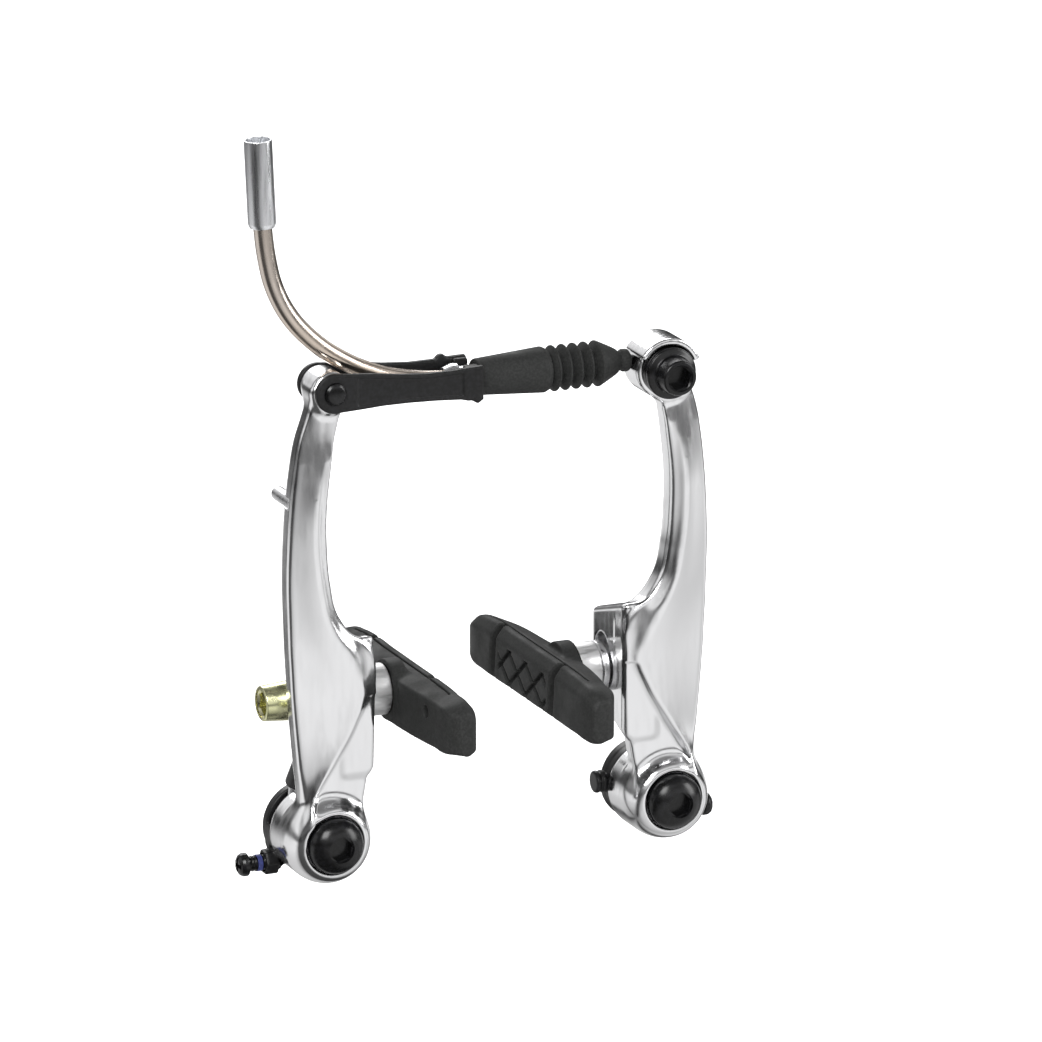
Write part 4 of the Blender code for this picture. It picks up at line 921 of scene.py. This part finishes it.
def link():
    """The two plates joined by a block that holds the noodle, and the rivet they swing on."""
    def distance(x, y, z):
        outline = polygon_distance(x, z, LINK_OUTLINE)
        front = both(outline, slab(y, *FRONT_PLATE_Y, 0.2), 0.45)
        sunk = both(outline + 0.9, y + 18.85, 0.2)
        sunk = both(sunk, slab(x, -34.0, -9.5), 0.4)
        front = less(front, sunk, 0.25)
        rear = both(outline, slab(y, *REAR_PLATE_Y, 0.2), 0.45)
        block = both(both(slab(x, -8.2, -4.85, 0.3), slab(y, -18.1, -8.45), 0.3), slab(z, 95.6, 102.9), 0.5)
        body = either(either(front, rear, 0.3), block, 0.6)
        lip = both(np.hypot(x + 6.2, z - 95.9) - 0.75, slab(y, -19.1, -16.6), 0.3)
        body = either(body, lip, 0.5)
        hook = both(np.hypot(x + 10.4, z - 102.6) - 1.3, slab(y, *REAR_PLATE_Y, 0.2), 0.3)
        body = either(body, hook, 0.5)
        body = less(body, np.hypot(x - LINK_PIN_X, z - LINK_PIN_Z) - 2.25, 0.25)
        nose = both(np.hypot(y - CABLE_Y, z - CABLE_Z) - 3.1, slab(x, -14, 0), 0.2)
        body = less(body, nose, 0.25)
        slit = both(both(np.abs(y - CABLE_Y) - 2.4, CABLE_Z - z, 0.2), slab(x, -14, 0), 0.2)
        return less(body, slit, 0.25)

    low, high = corners("noodle_link")
    mesh = surface("link_frame", distance, low, high, 0.28)
    piece("link_frame", mesh, "black_link", "link_body", "noodle_link")
    low, high = corners("link_pin")
    base_y = low.y + 0.7
    length = high.y - base_y
    profile = [(0, 0.68), (1.0, 0.66), (1.9, 0.45), (2.4, 0.08), (2.4, 0), (1.9, 0), (1.9, -length + 0.8),
               (2.6, -length + 0.8), (2.3, -length + 0.1), (0, -length)]
    mesh = lathe("link_rivet", profile, (LINK_PIN_X, base_y, LINK_PIN_Z), TO_FRONT, 72, 0.15)
    crisp(piece("link_rivet", mesh, "black_steel", "left_arm_body", "link_pin"))


ROUTE = (
    (-2.0, 99.2), (-6.0, 99.2), (-10.0, 99.3), (-14.0, 99.6), (-18.0, 100.1), (-22.5, 101.0),
    (-26.0, 102.0), (-29.3, 103.3), (-32.5, 104.8), (-35.6, 106.6), (-38.6, 108.6), (-41.4, 110.9),
    (-44.0, 113.4), (-46.3, 116.1), (-48.3, 119.1), (-49.9, 122.3), (-51.1, 125.6), (-51.9, 129.0),
    (-52.5, 132.5), (-52.9, 136.0), (-53.2, 139.5), (-53.4, 142.0),
)


def noodle():
    """The bent tube with its liner, the ferrule that takes the housing and the fitting in the link."""
    points = [Vector((x, CABLE_Y, z)) for x, z in ROUTE]
    path = smooth_path(points, 5)
    mesh = tube("bent_tube", path, 2.05, 1.6, 40)
    crisp(piece("bent_tube", mesh, "stainless_tube", "noodle_body", "noodle_tube"), 50)
    mesh = tube("inner_liner", path, 1.25, 0.8, 24)
    crisp(piece("inner_liner", mesh, "white_liner", "noodle_body", "noodle_liner"), 50)
    base, top = Vector((-53.1, CABLE_Y, 137.3)), Vector((-53.95, CABLE_Y, 156.5))
    length = (top - base).length
    shoulder = length - 13.0
    profile = [(3.05, length), (3.05, 0.9), (2.75, 0), (2.35, 0), (2.35, shoulder), (2.6, shoulder),
               (2.6, length)]
    mesh = lathe("housing_ferrule", profile, base, top - base, 96, 0.18, True)
    crisp(piece("housing_ferrule", mesh, "bright_ferrule", "noodle_body", "noodle_ferrule"), 40)
    low, high = corners("noodle_nose")
    run = high.x - low.x
    profile = [(2.4, run), (2.75, run - 2.5), (2.75, 3.2), (3.5, 3.2), (3.5, 2.0), (2.8, 0), (2.35, 0),
               (2.35, run)]
    mesh = lathe("end_fitting", profile, (low.x, CABLE_Y, CABLE_Z), (1, 0, 0), 72, 0.15, True)
    crisp(piece("end_fitting", mesh, "bright_ferrule", "noodle_body", "noodle_nose"))


def boot():
    """The dust boot: a sleeve over the noodle's end, five bellows ridges and a rimmed tip."""
    start, sleeve_end, tip = -4.3, 11.9, 31.7
    mouth_radius, sleeve_radius, ridge_radius, fold_radius = 4.18, 5.05, 5.05, 3.3
    bellows_start, pitch, ridges = 12.6, 2.55, 5
    outer = [(3.9, start), (4.02, start + 0.5), (mouth_radius, start + 3.0)]
    for t in (0.25, 0.5, 0.75, 1.0):
        outer.append((mouth_radius + (sleeve_radius - mouth_radius) * t,
                      start + 3 + (sleeve_end - start - 3.6) * t))
    outer += [(4.6, sleeve_end + 0.3), (3.5, sleeve_end + 0.75)]
    for i in range(ridges):
        ridge = bellows_start + pitch * (i + 0.5)
        outer += [(ridge_radius, ridge - 0.12), (ridge_radius, ridge + 0.12)]
        if i < ridges - 1:
            outer += [(fold_radius, ridge + 1.2), (fold_radius, ridge + pitch - 1.2)]
    outer += [(3.6, 27.1), (2.85, 28.5), (2.15, 29.35), (2.12, 29.75), (2.48, 30.1), (2.5, 31.2), (2.2, tip)]
    inner = [(1.1, tip), (1.1, 28.9), (2.95, 25.8), (2.95, 2.9), (3.05, 2.0), (3.05, start)]
    profile = outer + inner
    mesh = lathe("rubber_boot", profile[::-1], (0, CABLE_Y, CABLE_Z), (1, 0, 0), 96, 0.18, True)
    obj = piece("rubber_boot", mesh, "black_rubber", None, "dust_boot", "boot_tip")
    crisp(obj, 55)
    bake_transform(obj)


def anchor():
    """The cable clamp: a washer and a flanged socket bolt on the right head."""
    x, z, seat = HEADS["right"][0], HEADS["right"][1], -17.3
    profile = [(5.6, 1.9), (5.6, 0), (2.8, 0), (2.8, 1.9)]
    mesh = lathe("pinch_washer", profile, (x, seat, z), TO_FRONT, 84, 0.3, True)
    crisp(piece("pinch_washer", mesh, "black_steel", "cable_clamp_body", "cable_clamp_washer"))
    flange = seat - 2.2
    profile = [(0, 5.7), (3.6, 5.7), (3.9, 5.3), (4.2, 1.8), (5.0, 1.5), (5.6, 1.25), (5.75, 0.9), (5.75, 0),
               (2.5, 0), (2.5, -10.9), (0, -10.9)]
    body = lathe("flange_bolt", profile, (x, flange, z), TO_FRONT, 84, 0.3)
    socket = prism_mesh("anchor_hex", polygon(6, SOCKET_FLATS, 0.2), (x, flange - 2.5, z), TO_FRONT, 6)
    mouth = lathe("anchor_mouth", [(0, 4), (3.4, 4), (2.95, 0.0), (2.6, -0.35), (0, -0.35)],
                  (x, flange - 5.35, z), TO_FRONT, 48, 0.0)
    crisp(piece("flange_bolt", carved(body, socket, mouth), "black_steel", "cable_clamp_body",
                "cable_anchor_bolt"))


arms()
pads()
pad_hardware()
pivots()
link()
noodle()
boot()
anchor()


# ---------------------------------------------------------------- camera, floor and light

VIEW_AZIMUTH, VIEW_ELEVATION = 23.257, 16.16
VIEW_TARGET, VIEW_SHIFT_UP, VIEW_SHIFT_LEFT = (7.334, -12.0, 64.699), 0.75, 0.5
VIEW_DISTANCE = 2.0
SENSOR_WIDTH, FOCAL_LENGTH = 36.0, 319.27
FLOOR_GAP, FLOOR_REACH = 0.03, 30.0
BLACK, WHITE, SKY = (0.0, 0.0, 0.0, 1), (1, 1, 1, 1), (1.35, 1.35, 1.36, 1)


def camera():
    """The photograph's view: a long lens far away, to the left of straight ahead and above."""
    azimuth, elevation = math.radians(VIEW_AZIMUTH), math.radians(VIEW_ELEVATION)
    ahead = Vector((math.sin(azimuth) * math.cos(elevation), math.cos(azimuth) * math.cos(elevation),
                    -math.sin(elevation)))
    right = Vector((math.cos(azimuth), -math.sin(azimuth), 0))
    up = right.cross(ahead)
    target = (Vector(VIEW_TARGET) + up * VIEW_SHIFT_UP - right * VIEW_SHIFT_LEFT) * MM
    place = target - ahead * VIEW_DISTANCE
    data = bpy.data.cameras.new("photo_view")
    data.sensor_width = SENSOR_WIDTH
    data.lens = FOCAL_LENGTH
    data.clip_start, data.clip_end = 0.1, 20.0
    obj = bpy.data.objects.new("photo_view", data)
    bpy.context.scene.collection.objects.link(obj)
    obj.matrix_world = Matrix(((right.x, up.x, -ahead.x, place.x), (right.y, up.y, -ahead.y, place.y),
                               (right.z, up.z, -ahead.z, place.z), (0, 0, 0, 1)))
    bpy.context.scene.camera = obj


def softbox(name, place, size, power, aim=(0, -0.012, 0.065)):
    """A rectangular lamp that points at the middle of the brake."""
    data = bpy.data.lights.new(name, "AREA")
    data.shape = "RECTANGLE"
    data.size, data.size_y = size
    data.energy = power
    obj = bpy.data.objects.new(name, data)
    bpy.context.scene.collection.objects.link(obj)
    obj.location = place
    obj.rotation_euler = (Vector(aim) - Vector(place)).to_track_quat("-Z", "Y").to_euler()


def bands(tree, across, forward, stops_at):
    """Brightness by compass direction: 0 and 1 behind the object, 0.5 in front of it."""
    angle = tree.nodes.new("ShaderNodeMath")
    angle.operation = "ARCTAN2"
    turned = tree.nodes.new("ShaderNodeMath")
    turned.operation = "MULTIPLY"
    turned.inputs[1].default_value = -1.0
    tree.links.new(forward, turned.inputs[0])
    tree.links.new(across, angle.inputs[0])
    tree.links.new(turned.outputs["Value"], angle.inputs[1])
    turn = tree.nodes.new("ShaderNodeMapRange")
    turn.inputs["From Min"].default_value, turn.inputs["From Max"].default_value = -math.pi, math.pi
    tree.links.new(angle.outputs["Value"], turn.inputs["Value"])
    return stepped(tree, turn.outputs["Result"], stops_at)


def stepped(tree, source, stops_at):
    """Brightness that eases from each listed value to the next."""
    node = tree.nodes.new("ShaderNodeValToRGB")
    node.color_ramp.interpolation = "EASE"
    stops = node.color_ramp.elements
    for stop, (at, value) in zip(stops, (stops_at[0], stops_at[-1])):
        stop.position, stop.color = at, (value, value, value, 1)
    for at, value in stops_at[1:-1]:
        stops.new(at).color = (value, value, value, 1)
    tree.links.new(source, node.inputs["Fac"])
    return node.outputs["Color"]


def mixed(tree, factor, first, second, blend="MIX"):
    """A colour mix whose inputs are sockets or plain colours."""
    node = tree.nodes.new("ShaderNodeMix")
    node.data_type, node.blend_type = "RGBA", blend
    colours = [socket for socket in node.inputs if socket.type == "RGBA"]
    for socket, value in ((node.inputs["Factor"], factor), (colours[0], first), (colours[1], second)):
        if isinstance(value, bpy.types.NodeSocket):
            tree.links.new(value, socket)
        else:
            socket.default_value = value
    return [socket for socket in node.outputs if socket.type == "RGBA"][0]


# Brightness by direction round the object, by height from straight down to straight up, and by
# distance out along the floor.
COMPASS = (
    (0.0, 0.85), (0.055, 0.95), (0.09, 0.10), (0.13, 0.85), (0.235, 0.95), (0.29, 0.08), (0.37, 0.10),
    (0.425, 0.66), (0.49, 0.98), (0.60, 0.98), (0.655, 0.72), (0.72, 0.98), (0.785, 0.08), (0.84, 0.95),
    (0.93, 0.12), (0.96, 0.85), (1.0, 0.85),
)
HEIGHT = ((0.0, 0.5), (0.46, 0.45), (0.50, 0.12), (0.54, 0.25), (0.60, 1.0), (0.74, 1.0), (0.79, 0.22),
          (0.86, 0.85), (0.93, 0.25), (1.0, 0.2))
REACH = ((0.0, 0.30), (0.06, 0.75), (0.15, 1.0), (0.45, 1.0), (0.75, 0.5), (1.0, 0.2))


def studio():
    studio_floor()
    studio_world()
    softbox("key", (-0.9, -1.1, 1.1), (0.8, 0.8), 22.0)
    softbox("side", (1.2, -0.7, 0.5), (0.5, 0.9), 9.0)
    softbox("rear", (0.2, 1.2, 0.9), (1.0, 0.5), 8.0)


def studio_floor():
    """A pale floor that glows in bright and dark bands to glossy rays only: painted reflections for the
    glossy surfaces.
    """
    bm = bmesh.new()
    bmesh.ops.create_grid(bm, x_segments=1, y_segments=1, size=FLOOR_REACH)
    mesh = bpy.data.meshes.new("studio_floor")
    bm.to_mesh(mesh)
    bm.free()
    floor = bpy.data.objects.new("studio_floor", mesh)
    floor.location = (0, 0, CAD_BOX[0].z - FLOOR_GAP)
    bpy.context.scene.collection.objects.link(floor)
    made, tree, shader, coords = nodes_of("pale_floor_painted_glow")
    split = tree.nodes.new("ShaderNodeSeparateXYZ")
    tree.links.new(coords.outputs["Object"], split.inputs["Vector"])
    reach = tree.nodes.new("ShaderNodeVectorMath")
    reach.operation = "LENGTH"
    tree.links.new(coords.outputs["Object"], reach.inputs[0])
    # Banded brightness by compass direction and distance: the painted glow that glossy surfaces reflect
    pattern = mixed(tree, 1.0, bands(tree, split.outputs["X"], split.outputs["Y"], COMPASS),
                    stepped(tree, reach.outputs["Value"], REACH), "MULTIPLY")
    glossy = tree.nodes.new("ShaderNodeLightPath").outputs["Is Glossy Ray"]
    plain = ramp(tree, noise(tree, coords, 2.0), (0.95, 0.95, 0.95), (0.965, 0.965, 0.965))
    # To glossy rays the floor is black and glows with the bands (painted reflections); to other rays it is
    # plain pale
    tree.links.new(mixed(tree, glossy, plain, BLACK), shader.inputs["Base Color"])
    tree.links.new(mixed(tree, glossy, BLACK, pattern), shader.inputs["Emission Color"])
    shader.inputs["Emission Strength"].default_value = 1.0
    shader.inputs["Roughness"].default_value = 0.9
    shader.inputs["Specular IOR Level"].default_value = 0.0
    mesh.materials.append(made)


def studio_world():
    """A world that is white to the camera, even to rough surfaces and banded to glossy ones."""
    world = bpy.data.worlds.new("studio_world")
    bpy.context.scene.world = world
    world.use_nodes = True
    tree = world.node_tree
    back = tree.nodes["Background"]
    coords = tree.nodes.new("ShaderNodeTexCoord")
    split = tree.nodes.new("ShaderNodeSeparateXYZ")
    tree.links.new(coords.outputs["Generated"], split.inputs["Vector"])
    height = tree.nodes.new("ShaderNodeMapRange")
    height.inputs["From Min"].default_value, height.inputs["From Max"].default_value = -1.0, 1.0
    tree.links.new(split.outputs["Z"], height.inputs["Value"])
    pattern = mixed(tree, 1.0, bands(tree, split.outputs["X"], split.outputs["Y"], COMPASS),
                    stepped(tree, height.outputs["Result"], HEIGHT), "MULTIPLY")
    ray = tree.nodes.new("ShaderNodeLightPath")
    lit = mixed(tree, ray.outputs["Is Glossy Ray"], SKY, pattern)
    tree.links.new(mixed(tree, ray.outputs["Is Camera Ray"], lit, WHITE), back.inputs["Color"])


camera()
studio()
bpy.context.scene.view_settings.view_transform = "Standard"
